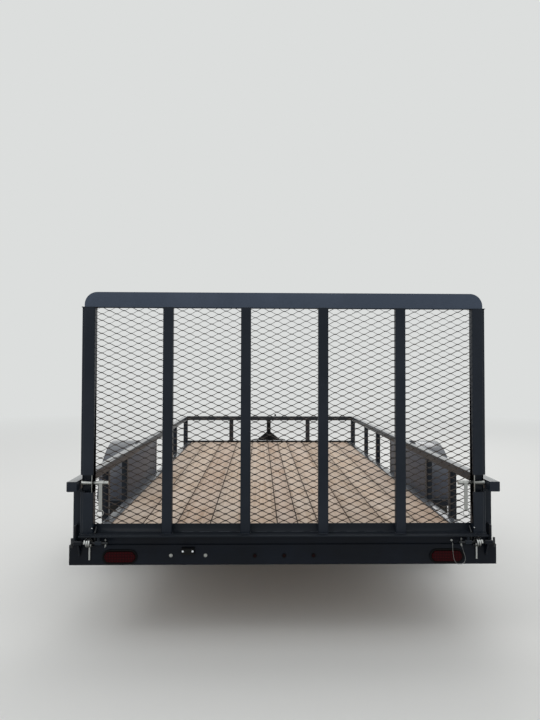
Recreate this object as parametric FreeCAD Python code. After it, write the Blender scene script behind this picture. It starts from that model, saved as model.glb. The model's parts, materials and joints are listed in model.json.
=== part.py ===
"""Single-axle utility trailer: plank deck, tube top rail on posts, and a spring-assist ramp gate at the back.

X points right, Y forward along the tongue and Z up. The origin is the hitch ball's centre in the coupler.
All sizes are in millimetres.
"""
import FreeCAD, Part
import os
from math import asin, cos, pi, radians, sin, tan

V = FreeCAD.Vector
os.makedirs("parts", exist_ok=True)

# Overall layout
bed_width = 2108            # between the top rails, 83 in
bed_length = 4267           # bumper face to front face, 14 ft
deck_height = 510           # deck top above the ground
ball_height = 430           # hitch ball centre above the ground
ball_reach = 1050           # hitch ball centre ahead of the front face
axle_from_back = 1563       # axle ahead of the bumper face
steel = 5                   # wall of the folded plates and channels
tube_wall = 3
cut_over = 1                # how far a cutting tool runs past what it cuts

# Deck frame
ledge = 57                  # side angle's leg over the plank edges
ledge_thick = 6
side_depth = 102            # side angle's outer leg
header_lip = 20             # front angle's top above the deck
header_bottom = 121         # front angle's lower edge below the deck
header_ledge = 51
cross_leg = 51
cross_count = 8
cross_start = 10            # first crossmember ahead of the bumper
bumper_depth = 102
bumper_flange = 41
screw_r = 3.5               # holes for the licence plate's screws
screw_pitch = 178
screw_z = -53.5

# Deck planks, left to right
plank_thick = 38
plank_gap = 4
plank_under = 15            # plank edges inside the side angle's ledge
narrow_plank = 121          # pitch of the narrow boards
plank_row = ["wide"] * 5 + ["narrow"] * 2 + ["wide"] * 4

# Top rail and its posts
rail = 51                   # square tube
rail_top = 333              # above the deck
rail_overhang = 50          # behind the bumper face
post_long = 51
post_wide = 38
post_foot = 100             # below the deck
post_start = 55             # rear post ahead of the bumper face
wheel_bay = 1004            # clear between the posts beside the wheel
front_post_share = 0.467    # of the half width
gusset_thick = 6
gusset_tall = 96
gusset_back = 8             # gusset's rear edge ahead of the bumper face

# Rear sill: angle on the bumper that closes the planks' ends
sill_back = 6               # behind it the bumper's top shows as a thin line
sill_tall = 46
sill_end = 6                # short of the posts' planes

# Ramp gate
gate_gap = 5                # between the uprights and the rails' planes
gate_past = 15              # uprights' rear faces behind the bumper face
gate_depth = 50
gate_bottom = 53            # above the deck
gate_top = 1304
foot_in = 5                 # foot's ends inside the uprights' outer faces
foot_thick = 7
foot_leg = 5                # wall of the foot's upright leg
side_strip = 14             # outer strip of the uprights
side_tube = 53              # full-depth part of the uprights
side_step = 8               # strip set back from the rear face
gate_top_tall = 78
gate_corner_r = 65
gate_foot_tall = 50
gate_bar_wide = 52
gate_bar_deep = 38
gate_bar_count = 4
mesh_thick = 4
mesh_columns = 9            # diamonds across; the real sheet has about three times as many
mesh_rows = 13
mesh_strand = 10

# Sliding bolts of the gate
latch_up = 316              # above the deck
latch_r = 10
latch_in = 72               # inner end inboard of the upright
latch_short = 6             # outer end short of the frame's rail
latch_fit = 0.5
window_tall = 88
guide_in = 5                # guide plate from the upright's inner face
guide_thick = 3
handle_off = 34             # handle's middle inboard of the upright
handle_wide = 18
handle_long = 140
handle_thick = 4
collar_r = 12
collar_long = 26

# Gate hinges
hinge_up = 18               # hinge line above the deck
pin_r = 7.5
sleeve_r = 11
sleeve_fit = 0.5
coil_r = 18.3               # to the wire's centre
wire_r = 5.2
coil_turns = 3
coil_gap = 0.4              # between turns
face_gap = 0.2              # between the spring's tail and the bumper
inner_sleeve = 32           # on the gate
inner_sleeve_off = 17       # its outer end inboard of the upright's inner face
outer_sleeve = 39           # on the bumper
outer_sleeve_past = 18      # its outer end outboard of the rail's inner face
sleeve_tab = 12
ear_thick = 8
ear_drop = 60               # ear's lower corner below the deck
pin_past = 29               # pin's bent end outboard of the rail's inner face
pin_head = 48
pin_head_r = 6
coil_off = 1                # coil's start outboard of the upright's inner face
arm_top = 94                # spring arm's tip above the deck
arm_fit = 0.6               # hole in the gate's foot
tail_drop = 73              # spring tail's tip below the deck

# Wheels and axle
tyre_r = 338
tyre_wide = 204
tyre_inner_gap = 29         # tyre to the panel beside it
crown_half = 76             # half width of the flat tread
rubber = 14
rim_r = 190
rim_wide = 150
rim_well = 22               # depth of the drop centre
flange_tall = 14
flange_thick = 4
bead_fit = 0.3
disc_thick = 5
vent_count = 8
spindle_r = 17
spindle_fit = 0.3
axle_r = 30
axle_drop = 102             # axle tube below the spindles
axle_end = 34               # width of the raised ends
hub_r = 40
hub_long = 80               # hub's inner end inboard of the wheel's middle
hub_gap = 6                 # raised end to the hub
spring_in = 26              # spring's middle inboard of the rail's inner face
spring_half = 330           # axle to spring eye
spring_wide = 45
leaf_thick = 7
leaf_count = 4
leaf_step = 0.22            # each leaf shorter than the one above by this share
leaf_bow = 1.3              # clears the leaves' curve under the clamp plate
eye_r = 18
eye_rise = 89               # eye above the spring seat
eye_bolt_r = 7
eye_fit = 0.3
seat_thick = 8
ubolt_r = 5
ubolt_gap = 1               # U bolt beside the spring and below the tube

# Fenders
fender_r = 440
fender_top = 345            # above the deck
fender_past = 7             # outer edge outboard of the tyre
fender_foot = -20           # fender ends below the deck
sheet = 3
fender_lip = 22
brace_leg = 51
brace_short = 10            # brace's end inside the fender's edge

# Tongue and jack
tongue_tall = 76
tongue_top = -44            # below the deck
tongue_flange = 38
tongue_angle = 25           # each leg from straight ahead
nose_half = 62              # outer half width where the legs end
nose_back = 130             # legs end behind the ball centre
ball_r = 25.4
ball_fit = 0.3
socket_wall = 5
socket_deep = 22            # below the ball's centre
coupler_tail = 150          # plate on the legs, behind their ends
latch_lever = 120
jack_back = 420             # jack behind the ball centre
jack_r = 28.5
jack_top = 265              # above the deck
jack_sleeve_bottom = 190    # below the deck
jack_travel = 250
jack_head_r = 34
jack_head_tall = 30
jack_plate_half = 70
jack_plate_thick = 8
jack_web_half = 165         # upright web across the plate, at its base
jack_web_tall = 106
leg_r = 24
leg_fit = 0.3
leg_wall = 4
foot_half = 62
jack_foot_thick = 6
crank_reach = 92
crank_thick = 6
knob_r = 12
knob_tall = 46

# Lamps
lamp_in = 259.5             # oval lamp's middle from the bumper's end
lamp_z = -60
lamp_long = 180
lamp_tall = 76
lamp_rim = 11
lamp_fit = 0.3              # round each lamp in its hole
marker_rim = 4
marker_r = 11.5
marker_pitch = 152
marker_z = -56
plate_x = -495
plate_lamp_z = -29
plate_lamp_half = (33, 18)
plate_lamp_deep = 24
side_lamp = (64, 24, 14)    # along the side, tall, deep
side_lamp_back = 320        # rear one ahead of the bumper face
side_lamp_front = 160       # front one behind the front face
side_lamp_z = -50

# Planes and lines that several pieces share
ground = -ball_height
deck = ground + deck_height
front = -ball_reach
back = front - bed_length
half = bed_width / 2
axle_y = back + axle_from_back
rail_out = half + rail
rail_low = deck + rail_top - rail
rail_back = back - rail_overhang
plank_low = deck - plank_thick
frame_low = deck + ledge_thick - side_depth
gate_back = back - gate_past
gate_front = gate_back + gate_depth
side_out = half - gate_gap
gate_half = side_out - foot_in
side_main = side_out - side_strip
side_in = side_main - side_tube
foot_top = deck + gate_bottom + foot_thick
gate_low = deck + gate_bottom + gate_foot_tall
gate_high = deck + gate_top - gate_top_tall
latch_y = gate_back + gate_depth / 2
latch_z = deck + latch_up
hinge_y = back - coil_r - wire_r - face_gap
hinge_z = deck + hinge_up
spindle_z = ground + tyre_r
wheel_x = half + sheet + tyre_inner_gap + tyre_wide / 2
fender_out = wheel_x + tyre_wide / 2 + fender_past
fender_z = deck + fender_top - fender_r
spring_x = half - spring_in
spring_side = spring_wide / 2
seat_z = spindle_z - axle_drop + axle_r + seat_thick
eye_z = seat_z + eye_rise
arm_x = side_in + coil_off - 2 * wire_r - face_gap
arm_y = hinge_y + coil_r
lean = radians(tongue_angle)


def box(x, y, z):
    """Block between the two values of each pair."""
    return Part.makeBox(x[1] - x[0], y[1] - y[0], z[1] - z[0], V(x[0], y[0], z[0]))


def prism(axis, points, span):
    """Flat outline pushed along an axis; points are (y, z), (x, z) or (x, y) for axis x, y or z."""
    lo, hi = span
    place = {"x": lambda a, b: (lo, a, b), "y": lambda a, b: (a, lo, b), "z": lambda a, b: (a, b, lo)}[axis]
    way = {"x": V(hi - lo, 0, 0), "y": V(0, hi - lo, 0), "z": V(0, 0, hi - lo)}[axis]
    corners = [V(*place(a, b)) for a, b in points]
    return Part.Face(Part.makePolygon(corners + corners[:1])).extrude(way)


def rod(start, end, r):
    """Round bar between two points."""
    return Part.makeCylinder(r, (end - start).Length, start, end - start)


def level_rod(x, y, z, r):
    """Round bar along X."""
    return rod(V(x[0], y, z), V(x[1], y, z), r)


def upright_rod(x, y, z, r):
    """Round bar along Z."""
    return rod(V(x, y, z[0]), V(x, y, z[1]), r)


def turned(outline, at):
    """Profile of (x, radius) points about a wheel's centre, revolved round its axle line."""
    corners = [V(at.x + x, at.y, at.z + r) for x, r in outline + outline[:1]]
    return Part.Face(Part.makePolygon(corners)).revolve(at, V(1, 0, 0), 360)


def mirrored(shape):
    """The same piece on the left side."""
    return shape.mirror(V(0, 0, 0), V(1, 0, 0))


def square_tube(x, y, z, axis, closed=0.0):
    """Rectangular tube along an axis, with its low end closed by a cap of that thickness."""
    spans = [x, y, z]
    inner = [(lo + tube_wall, hi - tube_wall) for lo, hi in spans]
    along = "xyz".index(axis)
    lo, hi = spans[along]
    inner[along] = (lo + closed if closed else lo - cut_over, hi + cut_over)
    return box(*spans).cut(box(*inner))


def fused(first, *rest):
    """One solid from pieces that touch or overlap."""
    return first.fuse(list(rest)).removeSplitter() if rest else first


def save(node, *shapes):
    """Write one node, whose solids don't touch each other."""
    whole = shapes[0] if len(shapes) == 1 else Part.makeCompound(list(shapes))
    whole.exportStep(f"parts/{node}.step")


def save_pair(node, shape):
    """Write the right-hand node and its mirror image."""
    save(node + "_right", shape)
    save(node + "_left", mirrored(shape))


def stadium(axis, centre, long, tall, span):
    """Flat bar with round ends, pushed along an axis, its long way level."""
    a, b = centre
    r = tall / 2
    flat = long / 2 - r
    way = V(0, 1, 0) if axis == "y" else V(1, 0, 0)
    ends = []
    for side in (-flat, flat):
        at = V(a + side, span[0], b) if axis == "y" else V(span[0], a + side, b)
        ends.append(Part.makeCylinder(r, span[1] - span[0], at, way))
    corners = [(a - flat, b - r), (a + flat, b - r), (a + flat, b + r), (a - flat, b + r)]
    return fused(prism(axis, corners, span), *ends)


def side_rail():
    """Right-hand side angle: outer leg down, top leg in over the plank edges."""
    top = deck + ledge_thick
    outline = [
        (half, top), (half, frame_low), (half - ledge_thick, frame_low), (half - ledge_thick, deck),
        (half - ledge, deck), (half - ledge, top),
    ]
    return prism("y", outline, (back + bumper_flange, front - ledge_thick))


def front_header():
    """Front angle, its lip a little above the deck."""
    top, low = deck + header_lip, deck - header_bottom
    outline = [
        (front, top), (front, low), (front - ledge_thick, low), (front - ledge_thick, top - ledge_thick),
        (front - header_ledge, top - ledge_thick), (front - header_ledge, top),
    ]
    return prism("x", outline, (-half, half))


def crossmembers():
    """Angles under the planks, between the side angles."""
    first = back + bumper_flange + cross_leg + cross_start
    last = front - header_ledge - cross_start
    inside = half - ledge_thick
    angles = []
    for i in range(cross_count):
        y = first + i * (last - first) / (cross_count - 1)
        outline = [
            (y, plank_low), (y, frame_low), (y - steel, frame_low), (y - steel, plank_low - steel),
            (y - cross_leg, plank_low - steel), (y - cross_leg, plank_low),
        ]
        angles.append(prism("x", outline, (-inside, inside)))
    return angles


def lamp_ovals(inset, span):
    """Oval lamps of both sides, made smaller all round by the inset."""
    long, tall = lamp_long - 2 * inset, lamp_tall - 2 * inset
    x = rail_out - lamp_in
    return [stadium("y", (side * x, deck + lamp_z), long, tall, span) for side in (-1, 1)]


def lamp_rounds(inset, span):
    """Three round lamps in the middle, made smaller all round by the inset."""
    at = [V(i * marker_pitch, span[0], deck + marker_z) for i in (-1, 0, 1)]
    return [Part.makeCylinder(marker_r - inset, span[1] - span[0], p, V(0, 1, 0)) for p in at]


def bumper():
    """Channel across the back, open forwards, with its lamp and screw holes."""
    low = deck - bumper_depth
    outline = [
        (back, deck), (back, low), (back + bumper_flange, low), (back + bumper_flange, low + steel),
        (back + steel, low + steel), (back + steel, deck - steel), (back + bumper_flange, deck - steel),
        (back + bumper_flange, deck),
    ]
    channel = prism("x", outline, (-rail_out, rail_out))
    through = (back - cut_over, back + steel + cut_over)
    screws = []
    for x in (plate_x - screw_pitch / 2, plate_x + screw_pitch / 2):
        screws.append(rod(V(x, through[0], deck + screw_z), V(x, through[1], deck + screw_z), screw_r))
    return channel.cut(lamp_ovals(lamp_rim, through) + lamp_rounds(marker_rim, through) + screws)


def sill():
    """Angle that stands along the bumper's top, behind the planks' ends."""
    y, leg = back + sill_back, back + bumper_flange
    outline = [(y, deck), (y, deck + sill_tall), (y + steel, deck + sill_tall), (y + steel, deck + steel),
               (leg, deck + steel), (leg, deck)]
    return prism("x", outline, (sill_end - half, half - sill_end))


def planks():
    """Deck boards, side by side from left to right between the side angles."""
    across = bed_width - 2 * (ledge - plank_under)
    narrow = plank_row.count("narrow")
    pitch = {"narrow": narrow_plank, "wide": (across - narrow * narrow_plank) / (len(plank_row) - narrow)}
    left = (plank_gap - across) / 2
    ends = (back + bumper_flange + plank_gap, front - ledge_thick - plank_gap)
    boards = []
    for kind in plank_row:
        boards.append(box((left, left + pitch[kind] - plank_gap), ends, (plank_low, deck)))
        left += pitch[kind]
    return boards


def post_faces():
    """Rear faces of the side posts: three behind the wheel and four from it to the front corner."""
    bay_back = axle_y - wheel_bay / 2 - post_long
    bay_front = axle_y + wheel_bay / 2
    first = back + post_start
    last = front - post_long
    ahead = (last - bay_front) / 3.5
    behind_wheel = [first, (first + bay_back) / 2, bay_back]
    return behind_wheel + [bay_front, bay_front + ahead, bay_front + 2 * ahead, last]


def side_posts():
    """Right-hand posts; the corner ones are as wide as the rail."""
    faces = post_faces()
    posts = []
    for y in faces:
        wide = rail if y in (faces[0], faces[-1]) else post_wide
        posts.append(square_tube((half, half + wide), (y, y + post_long), (deck - post_foot, rail_low), "z"))
    return posts


def corner_gusset():
    """Plate on the bumper's top, against the rear corner post."""
    x = (half + rail / 2, half + rail / 2 + gusset_thick)
    return box(x, (back + gusset_back, post_faces()[0]), (deck, deck + gusset_tall))


def mitre():
    """Wedges outside the diagonal of the right front corner, for the side rail and for the front one."""
    far = 3 * rail
    corner, inner = (rail_out, front), (rail_out - far, front - far)
    span = (rail_low - cut_over, rail_low + rail + cut_over)
    ahead = prism("z", [corner, inner, (inner[0], front + cut_over), (rail_out, front + cut_over)], span)
    beside = prism("z", [corner, inner, (rail_out + cut_over, inner[1]), (rail_out + cut_over, front)], span)
    return ahead, beside


def top_rails():
    """Right-hand and front top rails, mitred at the corner."""
    z = (rail_low, rail_low + rail)
    ahead, beside = mitre()
    side = square_tube((half, rail_out), (rail_back, front), z, "y", closed=tube_wall)
    across = square_tube((-rail_out, rail_out), (front - rail, front), z, "x")
    return side.cut(ahead), across.cut([beside, mirrored(beside)])


def front_posts():
    """Two posts that stand on the front angle."""
    z = (deck + header_lip, rail_low)
    y = (front - header_ledge, front)
    x = front_post_share * half
    return [square_tube((side * x - rail / 2, side * x + rail / 2), y, z, "z") for side in (-1, 1)]


def tongue_leg():
    """Right-hand leg: a channel on its side, open inwards, from the front angle to the coupler."""
    top = deck + tongue_top
    low = top - tongue_tall
    outline = [
        (0, top), (0, low), (-tongue_flange, low), (-tongue_flange, low + steel), (-steel, low + steel),
        (-steel, top - steel), (-tongue_flange, top - steel), (-tongue_flange, top),
    ]
    long = (ball_reach - nose_back) / cos(lean)
    leg = prism("y", outline, (-long - 2 * tongue_flange, 2 * tongue_flange))
    leg.rotate(V(0, 0, 0), V(0, 0, 1), tongue_angle)
    leg.translate(V(nose_half, -nose_back, 0))
    x, z = (-bed_width, bed_width), (low - cut_over, top + cut_over)
    return leg.cut([box(x, (front - 2 * long, front), z), box(x, (-nose_back, long), z)])


def coupler():
    """Formed plate over the ends of the legs, its walls closing in on the ball socket at the nose."""
    top = deck + tongue_top
    low = top - tongue_tall
    tail = -nose_back - coupler_tail
    wide = nose_half + coupler_tail * tan(lean)
    hole_r = ball_r + ball_fit
    outer_r = hole_r + socket_wall
    plate = prism("z", [(-wide, tail), (wide, tail), (nose_half, -nose_back), (-nose_half, -nose_back)],
                  (top, top + steel))
    nose = [(-nose_half, -nose_back), (nose_half, -nose_back), (outer_r, 0), (-outer_r, 0)]
    shell = fused(prism("z", nose, (low + tongue_flange, top + steel)),
                  Part.makeCylinder(outer_r, top + steel + socket_deep, V(0, 0, -socket_deep), V(0, 0, 1)))
    inner = nose_half - steel
    room = [(-inner, steel - nose_back), (inner, steel - nose_back), (outer_r - steel, -outer_r - steel),
            (steel - outer_r, -outer_r - steel)]
    room = prism("z", room, (low, top))
    ball = Part.makeSphere(hole_r)
    bore = Part.makeCylinder(hole_r, socket_deep + cut_over, V(0, 0, -socket_deep - cut_over), V(0, 0, 1))
    heel = box((-nose_half, nose_half), (-nose_back, -nose_back + steel), (low, top))
    return fused(plate, shell.cut(room), heel).cut([ball, bore])


def coupler_latch():
    """Hand lever that lies along the coupler's top."""
    top = deck + tongue_top + steel
    pivot, tip = -70, -nose_back - latch_lever / 2
    outline = [(pivot, top), (pivot, top + 34), (pivot - 14, top + 40), (tip, top + 26), (tip, top + 20),
               (pivot - 16, top + 30), (pivot - 16, top)]
    return prism("x", outline, (-knob_r, knob_r))


def jack_sleeve():
    """Outer tube of the jack with its head, and the plate and web that carry it on the tongue."""
    y = -jack_back
    low, top = deck - jack_sleeve_bottom, deck + jack_top
    tube = upright_rod(0, y, (low, top), jack_r)
    head = upright_rod(0, y, (top - jack_head_tall, top), jack_head_r)
    swell = jack_head_r - jack_r
    rim = Part.makeCone(jack_r, jack_head_r, swell, V(0, y, top - jack_head_tall - swell))
    plate_z = deck + tongue_top
    wide = nose_half + (jack_back - nose_back) * tan(lean)
    grow = jack_plate_half * tan(lean)
    plan = [(-wide - grow, y - jack_plate_half), (wide + grow, y - jack_plate_half),
            (wide - grow, y + jack_plate_half), (grow - wide, y + jack_plate_half)]
    plate = prism("z", plan, (plate_z, plate_z + jack_plate_thick))
    peak = plate_z + jack_web_tall
    web = prism("y", [(-jack_web_half, plate_z), (jack_web_half, plate_z), (jack_r, peak), (-jack_r, peak)],
                (y - jack_plate_thick / 2, y + jack_plate_thick / 2))
    room = upright_rod(0, y, (low - cut_over, top - jack_head_tall), leg_r + leg_fit)
    return fused(plate, web, tube, head, rim).cut(room)


def jack_leg():
    """Inner tube with its foot plate on the ground."""
    y = -jack_back
    top = deck + jack_top - jack_head_tall - jack_travel - jack_foot_thick
    tube = upright_rod(0, y, (ground, top), leg_r)
    foot = box((-foot_half, foot_half), (y - foot_half, y + foot_half), (ground, ground + jack_foot_thick))
    return fused(tube, foot).cut(upright_rod(0, y, (ground + jack_foot_thick, top + cut_over), leg_r - leg_wall))


def jack_crank():
    """Handle on the jack's head, with its upright knob."""
    y, top = -jack_back, deck + jack_top
    boss = upright_rod(0, y, (top, top + 2 * crank_thick), knob_r)
    flat = fused(box((0, crank_reach), (y - knob_r, y + knob_r), (top, top + crank_thick)),
                 upright_rod(crank_reach, y, (top, top + crank_thick), knob_r))
    knob = upright_rod(crank_reach, y, (top, top + knob_tall), knob_r)
    return fused(flat, boss, knob)


def fender():
    """Rolled skin over the wheel with a lip at its outer edge, its ends level."""
    start = asin((deck + fender_foot - fender_z) / fender_r) - radians(2)

    def ring(r_out, r_in, x):
        outer = [(r_out, start), (r_out, pi / 2), (r_out, pi - start)]
        inner = [(r_in, pi - start), (r_in, pi / 2), (r_in, start)]
        at = [V(x[0], axle_y + r * cos(a), fender_z + r * sin(a)) for r, a in outer + inner]
        edge = Part.Wire([
            Part.Arc(at[0], at[1], at[2]).toShape(), Part.makeLine(at[2], at[3]),
            Part.Arc(at[3], at[4], at[5]).toShape(), Part.makeLine(at[5], at[0]),
        ])
        return Part.Face(edge).extrude(V(x[1] - x[0], 0, 0))

    skin = ring(fender_r, fender_r - sheet, (half + sheet, fender_out))
    lip = ring(fender_r - sheet, fender_r - fender_lip, (fender_out - sheet, fender_out))
    y = (axle_y - fender_r - cut_over, axle_y + fender_r + cut_over)
    room = box((half, rail_out), y, (rail_low, deck + fender_top + cut_over))
    below = box((half, fender_out + cut_over), y, (fender_z - fender_r, deck + fender_foot))
    return fused(skin, lip).cut([room, below])


def wheel_bay_panel():
    """Sheet between the two posts beside the wheel."""
    y = (axle_y - wheel_bay / 2, axle_y + wheel_bay / 2)
    return box((half, half + sheet), y, (deck + fender_foot, rail_low))


def fender_braces():
    """Right-hand angles that carry both ends of the fender from the side angle."""
    reach = fender_r * cos(asin((deck + fender_foot - fender_z) / fender_r)) - 2 * sheet
    top = deck + fender_foot
    braces = []
    for way in (-1, 1):
        y = axle_y + way * reach
        outline = [(y, top), (y + way * brace_leg, top), (y + way * brace_leg, top - steel),
                   (y + way * steel, top - steel), (y + way * steel, top - brace_leg), (y, top - brace_leg)]
        braces.append(prism("x", outline, (half, fender_out - brace_short)))
    return braces


def axle():
    """Drop axle: tube low between the wheels, raised ends and spindles."""
    low = spindle_z - axle_drop
    outer = wheel_x - hub_long - hub_gap
    inner = outer - axle_end
    tube = level_rod((-outer, outer), axle_y, low, axle_r)
    parts = []
    for side in (-1, 1):
        corners = [(axle_y - axle_r, low), (axle_y + axle_r, low), (axle_y + axle_r, spindle_z),
                   (axle_y - axle_r, spindle_z)]
        x = sorted((side * inner, side * outer))
        parts.append(prism("x", corners, x))
        parts.append(level_rod(x, axle_y, spindle_z, axle_r))
        parts.append(level_rod(sorted((side * outer, side * wheel_x)), axle_y, spindle_z, spindle_r))
    return fused(tube, *parts)


def eye_rods(x, r):
    """Round bars through the two right-hand spring eyes."""
    return [level_rod(x, axle_y + way * spring_half, eye_z, r) for way in (-1, 1)]


def leaf_spring():
    """Curved leaves stacked on the right-hand spring seat, with an eye at each end."""
    leaves = []
    for i in range(leaf_count):
        span = spring_half * (1 - leaf_step * i)
        level = seat_z + leaf_thick * (leaf_count - 1 - i)
        rise = (eye_rise - leaf_thick * leaf_count - leaf_thick) * (span / spring_half) ** 2
        r = (span ** 2 + rise ** 2) / (2 * rise)
        arcs = []
        for inside in (r, r - leaf_thick):
            swing = asin(span / r)
            arcs.append([V(spring_x - spring_side, axle_y + inside * sin(a), level + r - inside * cos(a))
                         for a in (-swing, 0, swing)])
        low, high = arcs
        edge = Part.Wire([
            Part.Arc(*low).toShape(), Part.makeLine(low[2], high[2]),
            Part.Arc(high[2], high[1], high[0]).toShape(), Part.makeLine(high[0], low[0]),
        ])
        leaves.append(Part.Face(edge).extrude(V(spring_wide, 0, 0)))
    x = (spring_x - spring_side, spring_x + spring_side)
    holes = eye_rods((x[0] - cut_over, x[1] + cut_over), eye_bolt_r + eye_fit)
    return fused(*leaves, *eye_rods(x, eye_r)).cut(holes)


def spring_hangers():
    """U brackets under the side angle that hold the right-hand spring eyes, with their bolts."""
    room = (spring_x - spring_side - cut_over, spring_x + spring_side + cut_over)
    outside = (room[0] - steel, room[1] + steel)
    bolts = eye_rods((outside[0] - eye_bolt_r, outside[1] + eye_bolt_r), eye_bolt_r)
    hangers = []
    for way, bolt in zip((-1, 1), bolts):
        y = axle_y + way * spring_half
        top_half, low_half = 2 * eye_r, eye_r + steel
        cheek = [(y - top_half, frame_low), (y + top_half, frame_low), (y + low_half, eye_z - low_half),
                 (y - low_half, eye_z - low_half)]
        web = box(outside, (y - top_half, y + top_half), (frame_low - steel, frame_low))
        cheeks = [prism("x", cheek, (outside[0], room[0])), prism("x", cheek, (room[1], outside[1]))]
        hangers.append(fused(bolt, web, *cheeks))
    return hangers


def spring_clamp():
    """Right-hand seat on the axle tube, with the U bolts and the plate that clamp the spring to it."""
    low = spindle_z - axle_drop
    leg = axle_r + ubolt_gap + ubolt_r
    reach = leg + ubolt_r + steel
    beside = spring_side + ubolt_gap + ubolt_r
    x = (spring_x - beside - ubolt_r - ubolt_gap, spring_x + beside + ubolt_r + ubolt_gap)
    y = (axle_y - reach, axle_y + reach)
    seat = box(x, y, (seat_z - seat_thick - steel, seat_z))
    seat = seat.cut(level_rod((x[0] - cut_over, x[1] + cut_over), axle_y, low, axle_r + face_gap))
    top = seat_z + leaf_count * leaf_thick + leaf_bow
    plate = box(x, y, (top, top + seat_thick))
    bolts = []
    for side in (-1, 1):
        at = spring_x + side * beside
        wide = (at - ubolt_r, at + ubolt_r)
        bend = level_rod(wide, axle_y, low, leg + ubolt_r).cut(level_rod(wide, axle_y, low, leg - ubolt_r))
        bend = bend.cut(box(wide, (axle_y - reach, axle_y + reach), (low, low + reach)))
        legs = [upright_rod(at, axle_y + way * leg, (low, top + 2 * seat_thick), ubolt_r) for way in (-1, 1)]
        bolts += [bend] + legs
    return fused(seat, plate, *bolts)


def tyre():
    """Right-hand hollow tyre on its rim."""
    wide, bead = tyre_wide / 2, rim_r + bead_fit
    bead_x = rim_wide / 2 - flange_thick - bead_fit
    lip = rim_r + flange_tall + cut_over
    middle = (bead + tyre_r) / 2 + rubber / 2
    outside = [(bead_x, bead), (bead_x, lip), (wide, middle), (crown_half, tyre_r)]
    inside = [(wide - 2 * rubber, tyre_r - 2 * rubber), (bead_x - 1.5 * rubber, bead)]
    outline = outside + [(-x, r) for x, r in reversed(outside)]
    outline += [(-x, r) for x, r in reversed(inside)] + inside
    return turned(outline, V(wheel_x, axle_y, spindle_z))


def wheel_rim():
    """Right-hand steel wheel: dropped barrel with flanges and a vented disc."""
    w, r, t = rim_wide / 2, rim_r, flange_thick
    top, well = r + flange_tall, r - rim_well
    barrel = [
        (-w, top), (-w, r - t), (-0.4 * w, well), (0.16 * w, well), (w, r - t), (w, top),
        (w - t, top), (w - t, r), (0.2 * w, well + t), (-0.45 * w, well + t), (t - w, r), (t - w, top),
    ]
    at = V(wheel_x, axle_y, spindle_z)
    face, dish, t = hub_r + 2, 18, disc_thick
    disc = [(0, face), (0, face + 22), (dish, face + 56), (dish, well - 18), (0, well + 1), (-t, well + 1),
            (dish - t, well - 20), (dish - t, face + 58), (-t, face + 24), (-t, face)]
    vents = []
    for i in range(vent_count):
        vent = stadium("x", (at.y, at.z + 0.68 * r), 0.32 * r, 0.14 * r, (at.x - w, at.x + w))
        vent.rotate(at, V(1, 0, 0), 360 / vent_count * i)
        vents.append(vent)
    return fused(turned(barrel, at), turned(disc, at).cut(vents))


def hub():
    """Right-hand hub: barrel on the spindle, flange behind the disc and dust cap."""
    bore = spindle_r + spindle_fit
    flange, face = 2 * hub_r - 2, -disc_thick - face_gap
    outline = [(-hub_long, bore), (-hub_long, hub_r), (face - 9, hub_r), (face - 9, flange), (face, flange),
               (face, hub_r), (24, hub_r - 4), (30, hub_r - 10), (56, hub_r - 10), (62, hub_r - 18), (62, 0),
               (4, 0), (4, bore)]
    return turned(outline, V(wheel_x, axle_y, spindle_z))


def gate_side():
    """Right-hand upright of the gate with its latch window."""
    y, z = (gate_back, gate_front), (foot_top, gate_high)
    main = square_tube((side_in, side_main), y, z, "z")
    strip = box((side_main, side_out), (gate_back + side_step, gate_front), z)
    y = (gate_back - cut_over, gate_front - tube_wall)
    return fused(main, strip).cut(box((side_in - cut_over, side_out + cut_over), y, latch_window()))


def latch_window():
    """Lower and upper edge of the opening in the uprights."""
    return latch_z - window_tall / 2, latch_z + window_tall / 2


def latch_guide():
    """Right-hand plate that stands in the upright's window, with the bolt's hole."""
    x = (side_in + guide_in, side_in + guide_in + guide_thick)
    plate = box(x, (gate_back, gate_front - tube_wall), latch_window())
    return plate.cut(level_rod((x[0] - cut_over, x[1] + cut_over), latch_y, latch_z, latch_r + latch_fit))


def gate_top_bar():
    """Deep tube across the gate's top with rounded outer corners."""

    def rounded(inset):
        x = (inset - side_main, side_main - inset)
        block = box(x, (gate_back + inset, gate_front - inset), (gate_high - inset, deck + gate_top - inset))
        edges = [e for e in block.Edges
                 if abs(e.BoundBox.ZMin - block.BoundBox.ZMax) < cut_over and e.BoundBox.XLength < cut_over]
        return block.makeFillet(gate_corner_r - inset, edges)

    return rounded(0).cut(rounded(tube_wall))


def gate_foot():
    """Angle along the gate's base: a ledge that carries the uprights, and a leg below the mesh."""
    leg = gate_back + gate_bar_deep
    ledge = box((-gate_half, gate_half), (rail_back, gate_front), (deck + gate_bottom, foot_top))
    web = box((-side_in, side_in), (leg, leg + foot_leg), (foot_top, gate_low))
    holes = []
    for side in (-1, 1):
        holes.append(upright_rod(side * arm_x, arm_y, (deck, gate_low), wire_r + arm_fit))
    return fused(ledge, web).cut(holes)


def gate_bars():
    """Uprights at equal spaces between the two sides, on the rear of the mesh."""
    y, z = (gate_back, gate_back + gate_bar_deep), (foot_top, gate_high)
    pitch = (2 * side_in + gate_bar_wide) / (gate_bar_count + 1)
    bars = []
    for i in range(gate_bar_count):
        left = (i - (gate_bar_count - 1) / 2) * pitch - gate_bar_wide / 2
        bars.append(square_tube((left, left + gate_bar_wide), y, z, "z"))
    return bars


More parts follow.
